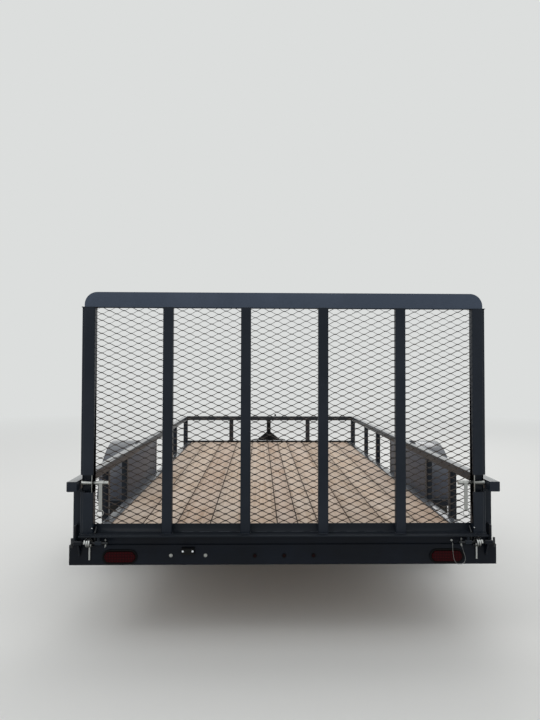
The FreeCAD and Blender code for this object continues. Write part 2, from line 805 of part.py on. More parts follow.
def gate_mesh():
    """Expanded metal inside the frame: rows of diamonds, with halves along every edge."""
    y = gate_back + gate_bar_deep
    rect = [(-side_in, gate_low), (side_in, gate_low), (side_in, gate_high), (-side_in, gate_high)]
    long = side_in / mesh_columns
    short = (gate_high - gate_low) / mesh_rows / 2
    a, b = long - mesh_strand, short - mesh_strand * short / long
    rim = mesh_strand / 2
    holes = []
    for row in range(2 * mesh_rows + 1):
        for column in range(row % 2, 2 * mesh_columns + 1, 2):
            side, end = column in (0, 2 * mesh_columns), row in (0, 2 * mesh_rows)
            if side and end:
                continue
            ends = [(a, 0), (0, b), (-a, 0), (0, -b)]
            if side:
                way = 1 if column == 0 else -1
                ends = [(way * a, 0), (way * rim, b * (1 - rim / a)), (way * rim, -b * (1 - rim / a))]
            if end:
                way = 1 if row == 0 else -1
                ends = [(0, way * b), (a * (1 - rim / b), way * rim), (-a * (1 - rim / b), way * rim)]
            x, z = column * long - side_in, gate_low + row * short
            holes.append([(x + dx, z + dz) for dx, dz in ends])
    wires = [Part.makePolygon([V(x, y, z) for x, z in ring + ring[:1]]) for ring in [rect] + holes]
    return Part.Face(wires).extrude(V(0, mesh_thick, 0))


def gate_latch():
    """Right-hand sliding bolt with the flat handle that hangs from it."""
    bolt = level_rod((side_in - latch_in, half - latch_short), latch_y, latch_z, latch_r)
    x = side_in - handle_off
    grip = (x - handle_wide / 2, x + handle_wide / 2)
    rear = latch_y - collar_r
    handle = box(grip, (rear, rear + handle_thick), (latch_z - handle_long + handle_wide / 2, latch_z))
    tip = rod(V(x, rear, latch_z - handle_long + handle_wide / 2),
              V(x, rear + handle_thick, latch_z - handle_long + handle_wide / 2), handle_wide / 2)
    collar = level_rod((x - collar_long / 2, x + collar_long / 2), latch_y, latch_z, collar_r)
    return fused(bolt, collar, handle, tip)


def gate_sleeve():
    """Right-hand tube under the gate's bottom rail that turns on the hinge pin."""
    outer = side_in - inner_sleeve_off
    inner = outer - inner_sleeve
    sleeve = level_rod((inner, outer), hinge_y, hinge_z, sleeve_r)
    x = (outer - (inner_sleeve + sleeve_tab) / 2, outer - (inner_sleeve - sleeve_tab) / 2)
    under = box(x, (hinge_y - sleeve_tab / 2, hinge_y + sleeve_tab / 2), (hinge_z, deck + gate_bottom))
    bore = level_rod((inner - cut_over, outer + cut_over), hinge_y, hinge_z, pin_r + sleeve_fit)
    return fused(sleeve, under).cut(bore)


def bumper_ear():
    """Right-hand sleeve and tab on the bumper that hold the hinge pin."""
    outer = half + outer_sleeve_past
    x = (outer - outer_sleeve, outer)
    sleeve = level_rod(x, hinge_y, hinge_z, sleeve_r)
    rear = hinge_y - sleeve_r + pin_head_r / 3
    tab = prism("x", [(back, deck - ear_drop), (back, deck), (hinge_y + ear_thick, hinge_z), (rear, hinge_z),
                      (rear, hinge_z - sleeve_r)], (half - ear_thick, half))
    bore = level_rod((x[0] - cut_over, x[1] + cut_over), hinge_y, hinge_z, pin_r + sleeve_fit)
    return fused(sleeve, tab).cut(bore)


def hinge_pin():
    """Right-hand loose pin with its bent outer end."""
    end = half + pin_past
    pin = level_rod((side_in - inner_sleeve_off - 2 * inner_sleeve, end), hinge_y, hinge_z, pin_r)
    return fused(pin, upright_rod(end, hinge_y, (hinge_z - pin_head / 2, hinge_z + pin_head / 2), pin_head_r))


def assist_spring():
    """Right-hand torsion coil round the pin, its tail straight down the bumper's face."""
    pitch = 2 * wire_r + coil_gap
    helix = Part.makeHelix(pitch, pitch * coil_turns, coil_r)
    ring = Part.Wire(Part.makeCircle(wire_r, V(coil_r, 0, 0), V(0, 1, 0)))
    coil = Part.Wire(helix).makePipeShell([ring], True, True)
    coil.rotate(V(0, 0, 0), V(0, 1, 0), 90)
    start = side_in + coil_off
    coil.translate(V(start, hinge_y, hinge_z))
    x, y = start + pitch * coil_turns / 2, hinge_y + coil_r
    return fused(coil, upright_rod(x, y, (deck - tail_drop, hinge_z), wire_r))


def spring_arm():
    """Right-hand end of the spring: up through the gate's foot, then forward to push on its leg."""
    low, bend = V(arm_x, arm_y, hinge_z), V(arm_x, arm_y, foot_top + wire_r)
    tip = V(arm_x, gate_back + gate_bar_deep - wire_r - face_gap, deck + arm_top - wire_r)
    return fused(rod(low, bend, wire_r), rod(bend, tip, wire_r), Part.makeSphere(wire_r, bend))


def tail_lamps():
    """Tail lamp with its grommet in each end of the bumper."""
    flanges = lamp_ovals(0, (back - 4, back))
    bodies = lamp_ovals(lamp_rim + lamp_fit, (back - 8, back + 28))
    return [fused(flange, body) for flange, body in zip(flanges, bodies)]


def marker_lamps():
    """Three round lamps in the middle of the bumper."""
    faces = lamp_rounds(0, (back - 3, back))
    stems = lamp_rounds(marker_rim + lamp_fit, (back, back + 20))
    return [fused(face, stem) for face, stem in zip(faces, stems)]


def plate_lamp():
    """Lamp housing above the licence plate's place, its lower rear edge sloped to the plate."""
    long, tall = plate_lamp_half
    low, high = deck + plate_lamp_z - tall, deck + plate_lamp_z + tall
    rear = back - plate_lamp_deep
    outline = [(back, low), (back, high), (rear + tall / 2, high), (rear, high - tall / 2),
               (rear + tall / 2, low)]
    return prism("x", outline, (plate_x - long, plate_x + long))


def side_markers():
    """Small lamps on the outer faces of the frame, near the corners."""
    long, tall, deep = side_lamp
    z = (deck + side_lamp_z - tall / 2, deck + side_lamp_z + tall / 2)
    lamps = []
    for side in (-1, 1):
        x = sorted((side * half, side * (half + deep)))
        for y in (back + side_lamp_back, front - side_lamp_front):
            lamps.append(box(x, (y - long / 2, y + long / 2), z))
    return lamps


def both(shapes):
    """Right-hand pieces and their mirror images."""
    return shapes + [mirrored(s) for s in shapes]


save_pair("side_rail", side_rail())
save("front_header", front_header())
save("crossmembers", *crossmembers())
save("bumper", bumper())
save("rear_sill", sill())
save("deck_planks", *planks())
right_posts = side_posts()
save("posts_right", *right_posts)
save("posts_left", *[mirrored(p) for p in right_posts])
save_pair("corner_gusset", corner_gusset())
side_top, front_top = top_rails()
save_pair("top_rail", side_top)
save("top_rail_front", front_top)
save("posts_front", *front_posts())
save_pair("tongue_leg", tongue_leg())
save("coupler", coupler())
save("coupler_latch", coupler_latch())
save("jack_sleeve", jack_sleeve())
save("jack_leg", jack_leg())
save("jack_crank", jack_crank())
save_pair("fender", fender())
save("wheel_bay_panels", *both([wheel_bay_panel()]))
save("fender_braces", *both(fender_braces()))
save("axle", axle())
save("leaf_springs", *both([leaf_spring()]))
save("spring_hangers", *both(spring_hangers()))
save("spring_seats", *both([spring_clamp()]))
save_pair("tyre", tyre())
save_pair("rim", wheel_rim())
save_pair("hub", hub())
save_pair("gate_side", gate_side())
save("gate_top_bar", gate_top_bar())
save("gate_foot", gate_foot())
save("gate_latch_guides", *both([latch_guide()]))
save("gate_bars", *gate_bars())
save("gate_mesh", gate_mesh())
save_pair("gate_latch", gate_latch())
save("gate_sleeves", *both([gate_sleeve()]))
save("gate_spring_arms", *both([spring_arm()]))
save("bumper_ears", *both([bumper_ear()]))
save("hinge_pins", *both([hinge_pin()]))
save_pair("assist_spring", assist_spring())
save("tail_lamps", *tail_lamps())
save("marker_lamps", *marker_lamps())
save("plate_lamp", plate_lamp())
save("side_markers", *side_markers())
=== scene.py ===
# %% [markdown]
# # A utility trailer, dressed in Blender
#
# The trailer arrives as a packed set of solids: frame, deck, gate, wheels and tongue, each at its real size.
# This lesson dresses them. Steel gets its rolled edges and enamel, planks get grain, and the ramp gate gets its
# expanded metal. Nothing is moved: a piece goes where the solids say.

# %% Load the frame
import json
from math import acos, cos, pi, radians, sin

import bmesh
import bpy
from mathutils import Matrix, Vector, noise

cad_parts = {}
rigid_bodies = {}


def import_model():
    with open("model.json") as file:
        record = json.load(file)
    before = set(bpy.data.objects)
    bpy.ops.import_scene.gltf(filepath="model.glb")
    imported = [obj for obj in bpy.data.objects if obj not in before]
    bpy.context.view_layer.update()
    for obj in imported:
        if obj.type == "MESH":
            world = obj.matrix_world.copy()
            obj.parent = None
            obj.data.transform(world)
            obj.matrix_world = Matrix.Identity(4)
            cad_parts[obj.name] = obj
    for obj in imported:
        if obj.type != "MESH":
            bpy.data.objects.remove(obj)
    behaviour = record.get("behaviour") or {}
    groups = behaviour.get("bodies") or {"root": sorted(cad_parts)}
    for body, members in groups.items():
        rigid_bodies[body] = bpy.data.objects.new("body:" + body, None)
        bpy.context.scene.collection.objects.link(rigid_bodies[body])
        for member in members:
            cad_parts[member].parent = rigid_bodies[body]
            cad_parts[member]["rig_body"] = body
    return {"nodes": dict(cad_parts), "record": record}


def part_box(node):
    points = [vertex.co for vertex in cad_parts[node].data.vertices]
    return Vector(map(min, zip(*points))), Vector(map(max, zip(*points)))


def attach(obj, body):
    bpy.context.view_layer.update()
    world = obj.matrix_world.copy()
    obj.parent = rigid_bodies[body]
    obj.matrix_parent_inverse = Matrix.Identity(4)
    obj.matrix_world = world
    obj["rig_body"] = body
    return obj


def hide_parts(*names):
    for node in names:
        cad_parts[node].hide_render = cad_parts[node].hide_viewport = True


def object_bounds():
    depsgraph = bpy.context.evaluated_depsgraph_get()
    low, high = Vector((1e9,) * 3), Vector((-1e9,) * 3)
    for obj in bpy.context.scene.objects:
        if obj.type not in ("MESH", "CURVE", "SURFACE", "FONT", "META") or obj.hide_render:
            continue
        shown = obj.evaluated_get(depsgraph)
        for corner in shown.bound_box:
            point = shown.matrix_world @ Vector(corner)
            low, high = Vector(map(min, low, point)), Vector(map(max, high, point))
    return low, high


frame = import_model()
cad_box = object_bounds()
nodes = frame["nodes"]

# %% [markdown]
# ## Where things are
#
# A few planes tie the dressing to the solids. They are read from the boxes of the nodes, so that a change of size in
# the model carries through. Millimetres are easier to read in a workshop, so one helper turns them to metres. Another
# puts a new object in the scene, and a third finds the side of a box that faces the trailer's middle.

# %% Planes of the trailer
SIDES = (("left", -1), ("right", 1))


def mm(value):
    return value / 1000


def linked(name, data):
    made = bpy.data.objects.new(name, data)
    bpy.context.scene.collection.objects.link(made)
    return made


def inboard(low, high):
    return low.x if low.x > 0 else high.x


deck_low, deck_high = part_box("deck_planks")
rail_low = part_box("top_rail_right")[0]
DECK = deck_high.z
GROUND = cad_box[0].z
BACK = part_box("bumper")[0].y
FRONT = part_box("front_header")[1].y
RAIL_END = rail_low.y
print("deck top above the ground:", round(DECK - GROUND, 3), "m")

# %% [markdown]
# ## Camera
#
# The photograph was taken by a phone held at chest height, straight behind the gate. A phone's wide lens is about
# 27 mm on a 36 mm sensor. The camera is built from three directions instead of Euler angles, because its small yaw,
# pitch and roll are then easy to read.

# %% Camera at the photographer's place
LENS = 27.37
camera_place = Vector((-0.130, RAIL_END - 2.802, DECK + 0.884))
yaw, pitch, roll = radians(1.08), radians(1.42), radians(0.16)

ahead = Vector((sin(yaw) * cos(pitch), cos(yaw) * cos(pitch), sin(pitch)))
right = Vector((cos(yaw), -sin(yaw), 0))
up = right.cross(ahead)
right, up = cos(roll) * right + sin(roll) * up, cos(roll) * up - sin(roll) * right
camera = linked("camera", bpy.data.cameras.new("camera"))
camera.data.lens, camera.data.clip_end = LENS, 200
camera.matrix_world = Matrix.Translation(camera_place) @ Matrix((right, up, -ahead)).transposed().to_4x4()
bpy.context.scene.camera = camera
bpy.context.scene.view_settings.view_transform = "Standard"
print("camera at", [round(v, 3) for v in camera_place])

# %% [markdown]
# ## Materials: small helpers
#
# Colours are written as sRGB hex values, as on a paint card, and turned to linear light once. The other functions add
# the shader nodes that most materials share: a noise, a colour ramp, a mix, a change of range and a bump. Each material
# below then reads as a list.

# %% Colour and node helpers
def linear(code):
    channels = [int(code[i:i + 2], 16) / 255 for i in (1, 3, 5)]
    return [c / 12.92 if c <= 0.04045 else ((c + 0.055) / 1.055) ** 2.4 for c in channels] + [1.0]


def add(tree, kind, inputs=None, **settings):
    """Shader node with its settings, values and links."""
    made = tree.nodes.new("ShaderNode" + kind)
    for name, value in settings.items():
        setattr(made, name, value)
    for socket, value in (inputs or {}).items():
        if isinstance(value, bpy.types.NodeSocket):
            tree.links.new(value, made.inputs[socket])
        else:
            made.inputs[socket].default_value = value
    return made


def new_material(name, colour, roughness, metallic=0.0, coat=0.0, specular=0.5):
    material = bpy.data.materials.new(name)
    material.use_nodes = True
    tree = material.node_tree
    shader = tree.nodes["Principled BSDF"]
    for socket, value in (("Base Color", linear(colour)), ("Roughness", roughness), ("Metallic", metallic),
                          ("Coat Weight", coat), ("Specular IOR Level", specular)):
        shader.inputs[socket].default_value = value
    return material, tree, shader


def coordinates(tree, kind="Object"):
    return add(tree, "TexCoord").outputs[kind]


def facing(tree):
    """The object's normal, as three outputs."""
    return add(tree, "SeparateXYZ", {"Vector": coordinates(tree, "Normal")}).outputs


def stretched(tree, space, scale):
    return add(tree, "Mapping", {"Vector": space, "Scale": scale}).outputs["Vector"]


def mottle(tree, space, scale, detail=2.0, **more):
    """Noise over a space, from 0 to 1."""
    return add(tree, "TexNoise", {"Vector": space, "Scale": scale, "Detail": detail, **more}).outputs["Fac"]


def tint(tree, factor, *stops):
    """Colour ramp with a stop at each (place, colour)."""
    made = add(tree, "ValToRGB", {"Fac": factor})
    elements = made.color_ramp.elements
    for i, (place, code) in enumerate(stops):
        stop = elements[i] if i < len(elements) else elements.new(place)
        stop.position, stop.color = place, linear(code)
    return made.outputs["Color"]


def blend(tree, factor, a, b, mode="MIX"):
    return add(tree, "Mix", {"Factor": factor, "A": a, "B": b}, data_type="RGBA", blend_type=mode).outputs["Result"]


def remap(tree, value, low, high, to_low=0.0, to_high=1.0):
    return add(tree, "MapRange", {"Value": value, "From Min": low, "From Max": high, "To Min": to_low,
                                  "To Max": to_high}).outputs["Result"]


def relief(tree, shader, height, strength, depth):
    bump = add(tree, "Bump", {"Height": height, "Strength": strength, "Distance": depth})
    tree.links.new(bump.outputs["Normal"], shader.inputs["Normal"])


# %% [markdown]
# ## Enamel
#
# The frame is wet-sprayed gloss enamel over mill-scale steel, a blue-grey charcoal. Up close such paint has a faint
# orange peel about 2 mm across and a few thin dusty patches. Faces that look up mirror the sky at a low angle, so the
# coat rises there, and their colour is blended towards a paler one, partly for a film of dust and partly as painted
# sheen. Both rise by "tops": fully where the object-space normal's height passes the upper end of LEVEL, and not at
# all below its lower end. The sheets beside the wheels and the fenders are satin, in a lighter copy of the charcoal
# that is painted sky light. The gate's top bar is painted paler and its foot darker with little top sheen, and the
# front rail is dusty from the road. The bumper and the sill are painted darkest, as painted shade.

# %% Frame enamel
PEEL = mm(2.5)
DUST = 0.35
LEVEL = (0.45, 0.95)


def enamel(name, colour, dusty, rough=0.42, coat=0.3, sheen_and_dust="#63666a", tops=1.0):
    material, tree, shader = new_material(name, colour, rough, coat=coat, specular=0.12)
    shader.inputs["Coat Roughness"].default_value = 0.16
    space, upward = coordinates(tree), facing(tree)["Z"]
    for socket, side, top in (("Coat Weight", coat, 1.0), ("Coat IOR", 1.3, 1.75)):
        tree.links.new(remap(tree, upward, *LEVEL, side, side + (top - side) * tops), shader.inputs[socket])
    patches = mottle(tree, space, 1 / DUST, 6.0, Roughness=0.65)
    paint = tint(tree, patches, (0.42, colour), (0.78, dusty))
    # up-facing faces are blended towards a paler colour: partly dust, partly painted sheen
    dust_and_sheen_colour = blend(tree, remap(tree, upward, *LEVEL, 0.0, 0.6 * tops), paint, linear(sheen_and_dust))
    tree.links.new(dust_and_sheen_colour, shader.inputs["Base Color"])
    tree.links.new(remap(tree, patches, 0.4, 0.8, rough, rough + 0.22), shader.inputs["Roughness"])
    relief(tree, shader, mottle(tree, space, 1 / PEEL, 1.0), 0.12, mm(0.2))
    return material


charcoal_enamel = enamel("charcoal gloss enamel", "#171e27", "#242932")
# sheets beside the wheels and fenders: a lighter copy of the charcoal, painted sky light
sky_lit_panel_enamel = enamel("satin charcoal enamel painted lighter for sky light", "#4a4d56", "#55565d", rough=0.5, coat=0.2)
black_enamel = enamel("black chassis enamel", "#101113", "#1e1c1b", rough=0.48, sheen_and_dust="#2b2b2b")
mesh_enamel = enamel("enamel on expanded steel", "#1b1613", "#3f2d1d", rough=0.6, coat=0.1, sheen_and_dust="#33271c", tops=0.3)
# the gate's top bar is painted paler than the rest of the frame
pale_top_bar_enamel = enamel("sun-chalked charcoal enamel", "#404957", "#4b5463", rough=0.5, coat=0.2)
# bumper, ears and sill: a darker copy of the charcoal, painted shade
shaded_low_enamel = enamel("charcoal enamel painted dark for shade", "#090e16", "#121924", coat=0.12, sheen_and_dust="#34383d", tops=0.5)
dusty_enamel = enamel("road-dusted charcoal enamel", "#2b2e32", "#3a3b3d", rough=0.5, coat=0.2)
# the gate's foot is painted darker, with little of the top sheen
dark_foot_enamel = enamel("darker charcoal enamel on the gate's foot", "#12181f", "#1d222a", coat=0.15, tops=0.12)

# %% [markdown]
# ## Rough-sawn planks
#
# The deck is softwood that has gone pale and a little pink in the sun. Growth rings cut lengthwise give streaks that
# run with the board, 3 to 8 mm apart. Each board has its own tone, so a face attribute called "board" carries one
# number per plank, and it also shifts the grain so that no two boards match. The board sides in the gaps are painted
# dark, as painted shade in the gaps with some dirt.

# %% Weathered softwood
RING = mm(7)
STREAK = 0.9
FIBRES = (900, 14, 900)
BOARD_SHIFT = 37.0

weathered_plank, tree, shader = new_material("weathered rough-sawn softwood", "#c5b09a", 0.85, specular=0.25)
board = add(tree, "Attribute", attribute_name="board").outputs["Fac"]
shift = add(tree, "CombineXYZ", {"X": board, "Y": board, "Z": board})
spread = add(tree, "VectorMath", {0: shift.outputs[0], "Scale": BOARD_SHIFT}, operation="SCALE")
moved = add(tree, "VectorMath", {0: coordinates(tree), 1: spread.outputs[0]}, operation="ADD").outputs[0]
grain = mottle(tree, stretched(tree, moved, (1 / RING, 1 / STREAK, 1 / RING)), 0.35, 5.0, Roughness=0.6,
               Distortion=0.6)
fibre = mottle(tree, stretched(tree, moved, FIBRES), 1.0)
streaks = tint(tree, grain, (0.28, "#b39c86"), (0.46, "#cbb8a5"), (0.60, "#d8c8b8"), (0.76, "#c6b19c"))
tones = tint(tree, board, (0.0, "#d9d1c9"), (0.5, "#ede7e1"), (1.0, "#dfd4cd"))
toned = blend(tree, 1.0, streaks, tones, "MULTIPLY")
greyed = blend(tree, remap(tree, mottle(tree, moved, 2.2, 4.0), 0.35, 0.7, 0.0, 0.45), toned, linear("#c8bdb2"))
# painted shade in the plank gaps, with some dirt: sideways-facing board sides are darkened
edge = add(tree, "Math", {0: facing(tree)["X"]}, operation="ABSOLUTE").outputs[0]
gap_shade_and_dirt = blend(tree, remap(tree, edge, 0.12, 0.5, 0.0, 0.9), greyed, linear("#3a2e25"))
tree.links.new(gap_shade_and_dirt, shader.inputs["Base Color"])
heights = add(tree, "Math", {0: grain, 1: fibre}, operation="ADD").outputs[0]
relief(tree, shader, heights, 0.5, mm(0.8))
print("plank grain:", RING * 1000, "mm rings")

# %% [markdown]
# ## Zinc, rubber and lamp plastics
#
# Bolts, springs and the jack are zinc plated: a bright blue-white metal with a soft spangle. What faces down is painted
# darker and the upper sides stay bright, as painted shade and sky light, so the normal mixes the two. Tyres are
# carbon-black rubber, matt and a little brown where they weather. Lamp lenses are clear acrylic dyed in the mass, so
# they are glossy and dark when the lamp is off. The plain materials take a tone, which is a noise's scale and detail
# with two colour stops, or a grain, which is a noise's scale with a bump's strength and depth.

# %% Metals and plastics
def plated(name, colour, rough, spangle, underside_shade="#4b4c49"):
    material, tree, shader = new_material(name, colour, rough, metallic=1.0)
    space = coordinates(tree)
    grains = add(tree, "TexVoronoi", {"Vector": space, "Scale": 1 / spangle}).outputs["Color"]
    tree.links.new(remap(tree, grains, 0.0, 1.0, rough - 0.08, rough + 0.12), shader.inputs["Roughness"])
    # painted shade: faces that look down are darkened, upper sides kept bright as painted sky light
    shade = blend(tree, remap(tree, facing(tree)["Z"], -0.6, 0.7), linear(underside_shade), linear(colour))
    tree.links.new(shade, shader.inputs["Base Color"])
    relief(tree, shader, mottle(tree, space, 40.0, 4.0), 0.1, mm(0.3))
    return material


def plain(name, colour, rough, tone=None, grain=None, **settings):
    material, tree, shader = new_material(name, colour, rough, **settings)
    if tone:
        scale, detail, *stops = tone
        tones = tint(tree, mottle(tree, coordinates(tree), scale, detail), *stops)
        tree.links.new(tones, shader.inputs["Base Color"])
    if grain:
        scale, strength, depth = grain
        relief(tree, shader, mottle(tree, coordinates(tree), scale), strength, depth)
    return material


def lens(name, colour, deep, pitch):
    """Dyed acrylic with rows of small optics behind its face."""
    material, tree, shader = new_material(name, colour, 0.2, coat=0.08, specular=0.04)
    shader.inputs["Coat IOR"].default_value = 1.35
    space = stretched(tree, coordinates(tree), (1, 0.02, 1))
    cells = add(tree, "TexVoronoi", {"Vector": space, "Scale": 1 / pitch, "Randomness": 0.0}).outputs["Distance"]
    tree.links.new(tint(tree, cells, (0.15, colour), (0.55, deep)), shader.inputs["Base Color"])
    return material


zinc = plated("bright zinc plating", "#dcdedb", 0.38, mm(4))
spring_zinc = plated("zinc-plated spring wire", "#eceeed", 0.34, mm(3))
pin_steel = plated("oiled pin steel", "#4a4c4f", 0.45, mm(4), "#2b2c2d")
polished_cap = plated("polished steel cap", "#cfd1d2", 0.16, mm(6), "#8a8b8b")
tyre_rubber = plain("carbon-black tyre rubber", "#232322", 0.78, tone=(14.0, 5.0, (0.4, "#1d1d1d"), (0.7, "#34322f")),
                    grain=(700.0, 0.2, mm(0.3)))
grommet_rubber = plain("moulded black rubber", "#090909", 0.6, grain=(500.0, 0.15, mm(0.2)), specular=0.1)
moulded_black = plain("moulded black plastic", "#0c0d0e", 0.45, grain=(1200.0, 0.2, mm(0.1)), specular=0.15)
dull_screw = plain("dull coated screw", "#4c4740", 0.6, tone=(400.0, 2.0, (0.3, "#3c3833"), (0.7, "#5b544b")),
                   metallic=0.6)
clear_lens = plain("clear lamp dome", "#e8ecee", 0.08, tone=(300.0, 2.0, (0.3, "#dfe4e6"), (0.7, "#f2f5f6")),
                   coat=0.5)
red_lens = lens("red acrylic lens", "#4f060d", "#230306", mm(14))
smoked_lens = lens("dark red marker lens", "#22090b", "#140506", mm(7))
amber_lens = lens("amber acrylic lens", "#c9741a", "#8a4a0e", mm(10))
print("materials:", len(bpy.data.materials))

# %% [markdown]
# ## Pieces from a bmesh
#
# Every piece is made as a bmesh, given a material, and left with its object at the origin so that patterns on Object
# coordinates stay in place. Smooth shading with sharp edges by angle suits sheet steel: bends look round, and cut
# edges stay crisp.

# %% Helpers that finish a piece
def finished(bm, name, body, materials, stands_for=(), angle=38):
    """A bmesh becomes a named object that rides on a body and stands for some nodes."""
    mesh = bpy.data.meshes.new(name)
    bm.to_mesh(mesh)
    bm.free()
    mesh.shade_smooth()
    mesh.set_sharp_from_angle(angle=radians(angle))
    for one in materials if isinstance(materials, list) else [materials]:
        mesh.materials.append(one)
    made = linked(name, mesh)
    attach(made, body)
    if stands_for:
        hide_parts(*stands_for)


def merged_copy(node):
    """The node's loose triangles as one clean bmesh with flat faces."""
    bm = bmesh.new()
    bm.from_mesh(nodes[node].data)
    bmesh.ops.remove_doubles(bm, verts=bm.verts, dist=mm(0.01))
    bmesh.ops.dissolve_limit(bm, angle_limit=radians(0.4), verts=bm.verts, edges=bm.edges)
    return bm


def solids(node):
    """Lowest and highest corner of each loose solid in a node, ordered by place."""
    bm = merged_copy(node)
    left, boxes = set(bm.verts), []
    while left:
        queue, group = [left.pop()], []
        while queue:
            vert = queue.pop()
            group.append(vert.co.copy())
            fresh = {e.other_vert(vert) for e in vert.link_edges} & left
            left -= fresh
            queue += fresh
        low = Vector([min(p[i] for p in group) for i in range(3)])
        boxes.append((low, Vector([max(p[i] for p in group) for i in range(3)])))
    bm.free()
    return sorted(boxes, key=lambda b: tuple(b[0]))


# %% [markdown]
# ## Making small shapes
#
# Four makers cover nearly all the hardware: a block, a turned profile, a bar swept along a path, and a hexagon head.
# Turning uses bmesh's spin operator. The sweep carries its side direction from ring to ring, so a bent wire doesn't
# twist, and a skin joins the rings.

# %% Makers
AXES = {"x": Vector((1, 0, 0)), "y": Vector((0, 1, 0)), "z": Vector((0, 0, 1))}


def block(bm, low, high, ease):
    """Box between two corners, its edges eased."""
    low, high = Vector(low), Vector(high)
    verts = bmesh.ops.create_cube(bm, size=1.0)["verts"]
    bmesh.ops.scale(bm, vec=high - low, verts=verts)
    bmesh.ops.translate(bm, vec=(low + high) / 2, verts=verts)
    edges = list(dict.fromkeys(e for v in verts for e in v.link_edges))
    bmesh.ops.bevel(bm, geom=edges, offset=ease, segments=2, profile=0.5, affect="EDGES", material=-1)


def turned(bm, outline, centre, axis, steps):
    """Profile of (along, radius) pairs, spun about an axis through the centre."""
    way = AXES[axis]
    side = way.orthogonal().normalized()
    verts = [bm.verts.new(Vector(centre) + way * a + side * r) for a, r in outline]
    edges = [bm.edges.new(pair) for pair in zip(verts, verts[1:])]
    bmesh.ops.spin(bm, geom=verts + edges, cent=centre, axis=way, angle=2 * pi, steps=steps, use_merge=True)
    bmesh.ops.remove_doubles(bm, verts=bm.verts, dist=mm(0.02))


def skin(bm, rings, start=True, end=True):
    """Faces from ring to ring of points, with flat ends."""
    made = [[bm.verts.new(point) for point in ring] for ring in rings]
    for low, high in zip(made, made[1:]):
        for k in range(len(low)):
            after = (k + 1) % len(low)
            bm.faces.new((low[k], low[after], high[after], high[k]))
    if start:
        bm.faces.new(made[0][::-1])
    if end:
        bm.faces.new(made[-1])


def sweep(bm, path, radius, sides):
    """Round bar along a path of points, with a fixed radius or one for each point."""
    side = (path[1] - path[0]).orthogonal().normalized()
    rings = []
    for i, point in enumerate(path):
        way = (path[min(i + 1, len(path) - 1)] - path[max(i - 1, 0)]).normalized()
        side = (side - way * side.dot(way)).normalized()
        r = radius(i) if callable(radius) else radius
        rings.append([point + r * (Matrix.Rotation(2 * pi * k / sides, 3, way) @ side) for k in range(sides)])
    skin(bm, rings)


def arc(centre, start, axis, angle, steps):
    """Points from a start point round a centre."""
    return [centre + Matrix.Rotation(angle * i / steps, 3, axis) @ (start - centre) for i in range(steps + 1)]


def hexagon(bm, face, axis, across, tall):
    """Hexagon head on a face, pointing along a signed axis such as -y, with a washer and a domed top."""
    way = AXES[axis[-1]] * (-1 if axis.startswith("-") else 1)
    turn = way.to_track_quat("Z", "Y").to_matrix().to_4x4()
    thick, shoulder = tall * 0.22, tall * 0.86
    for r1, r2, low, high, segments in ((across * 0.92, across * 0.9, 0, thick, 20),
                                        (across * 0.577, across * 0.577, thick, shoulder, 6),
                                        (across * 0.52, across * 0.42, shoulder, tall, 18)):
        bmesh.ops.create_cone(bm, cap_ends=True, segments=segments, radius1=r1, radius2=r2, depth=high - low,
                              matrix=Matrix.Translation(Vector(face) + way * (low + high) / 2) @ turn)


# %% [markdown]
# ## Painted steel
#
# Square tube is rolled, so its long corners have a radius near twice its wall. Angle, channel and sheet lose only
# their sharpness to the paint. The solids have knife edges, which catch no light, so a copy of each is merged, its
# outer edges are bevelled, and the copy stands for the node. The sheets beside the wheels reach 2 mm up under the
# rails' round corners, and a thin cheek closes the slit where each fender rises above its rail.

# %% Round the steel
def softened(node, radius, axis=None, shortest=mm(4)):
    """Copy of a node with its outer edges rounded, or only the long ones along an axis."""
    bm = merged_copy(node)
    edges = []
    for edge in bm.edges:
        way = edge.verts[1].co - edge.verts[0].co
        if len(edge.link_faces) != 2 or way.length < shortest or not edge.is_convex:
            continue
        along = axis is None or abs(way.normalized().dot(AXES[axis])) > 0.999
        if along and edge.calc_face_angle(0) > radians(40):
            edges.append(edge)
    bmesh.ops.bevel(bm, geom=edges, offset=radius, segments=3 if axis else 2, profile=0.5, affect="EDGES",
                    material=-1, clamp_overlap=axis is None)
    return bm


TUBE_CORNER = mm(4.5)
PLATE_EDGE = mm(0.9)
tube_ways = {
    "top_rail_left": "y", "top_rail_right": "y", "top_rail_front": "x", "posts_left": "z", "posts_right": "z",
    "posts_front": "z", "gate_side_left": "z", "gate_side_right": "z", "gate_bars": "z",
}
for node, way in tube_ways.items():
    paint = dusty_enamel if node.endswith("front") else charcoal_enamel
    finished(softened(node, TUBE_CORNER, way, mm(60)), node + "_tube", nodes[node]["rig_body"], paint,
             [node])

dressed = {
    (charcoal_enamel, "frame_paint"): [
        "side_rail_left", "side_rail_right", "front_header", "crossmembers", "corner_gusset_left",
        "corner_gusset_right", "tongue_leg_left", "tongue_leg_right", "fender_braces", "coupler", "gate_sleeves",
    ],
    (pale_top_bar_enamel, "frame_paint"): ["gate_top_bar"],
    (dark_foot_enamel, "frame_paint"): ["gate_foot"],
    (shaded_low_enamel, "frame_paint"): ["bumper", "bumper_ears", "rear_sill"],
    (sky_lit_panel_enamel, "frame_paint"): ["fender_left", "fender_right"],
    (black_enamel, "axle_black"): [
        "axle", "leaf_springs", "spring_hangers", "spring_seats", "jack_sleeve", "jack_crank",
    ],
    (black_enamel, "wheel_paint"): ["rim_left", "rim_right"],
    (zinc, "zinc_plate"): [
        "gate_latch_left", "gate_latch_right", "gate_latch_guides", "coupler_latch", "jack_leg",
    ],
    (pin_steel, "zinc_plate"): ["hinge_pins"],
}
for (material, slot), names in dressed.items():
    for node in names:
        finished(softened(node, PLATE_EDGE), node + "_steel", nodes[node]["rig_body"], material, [node])

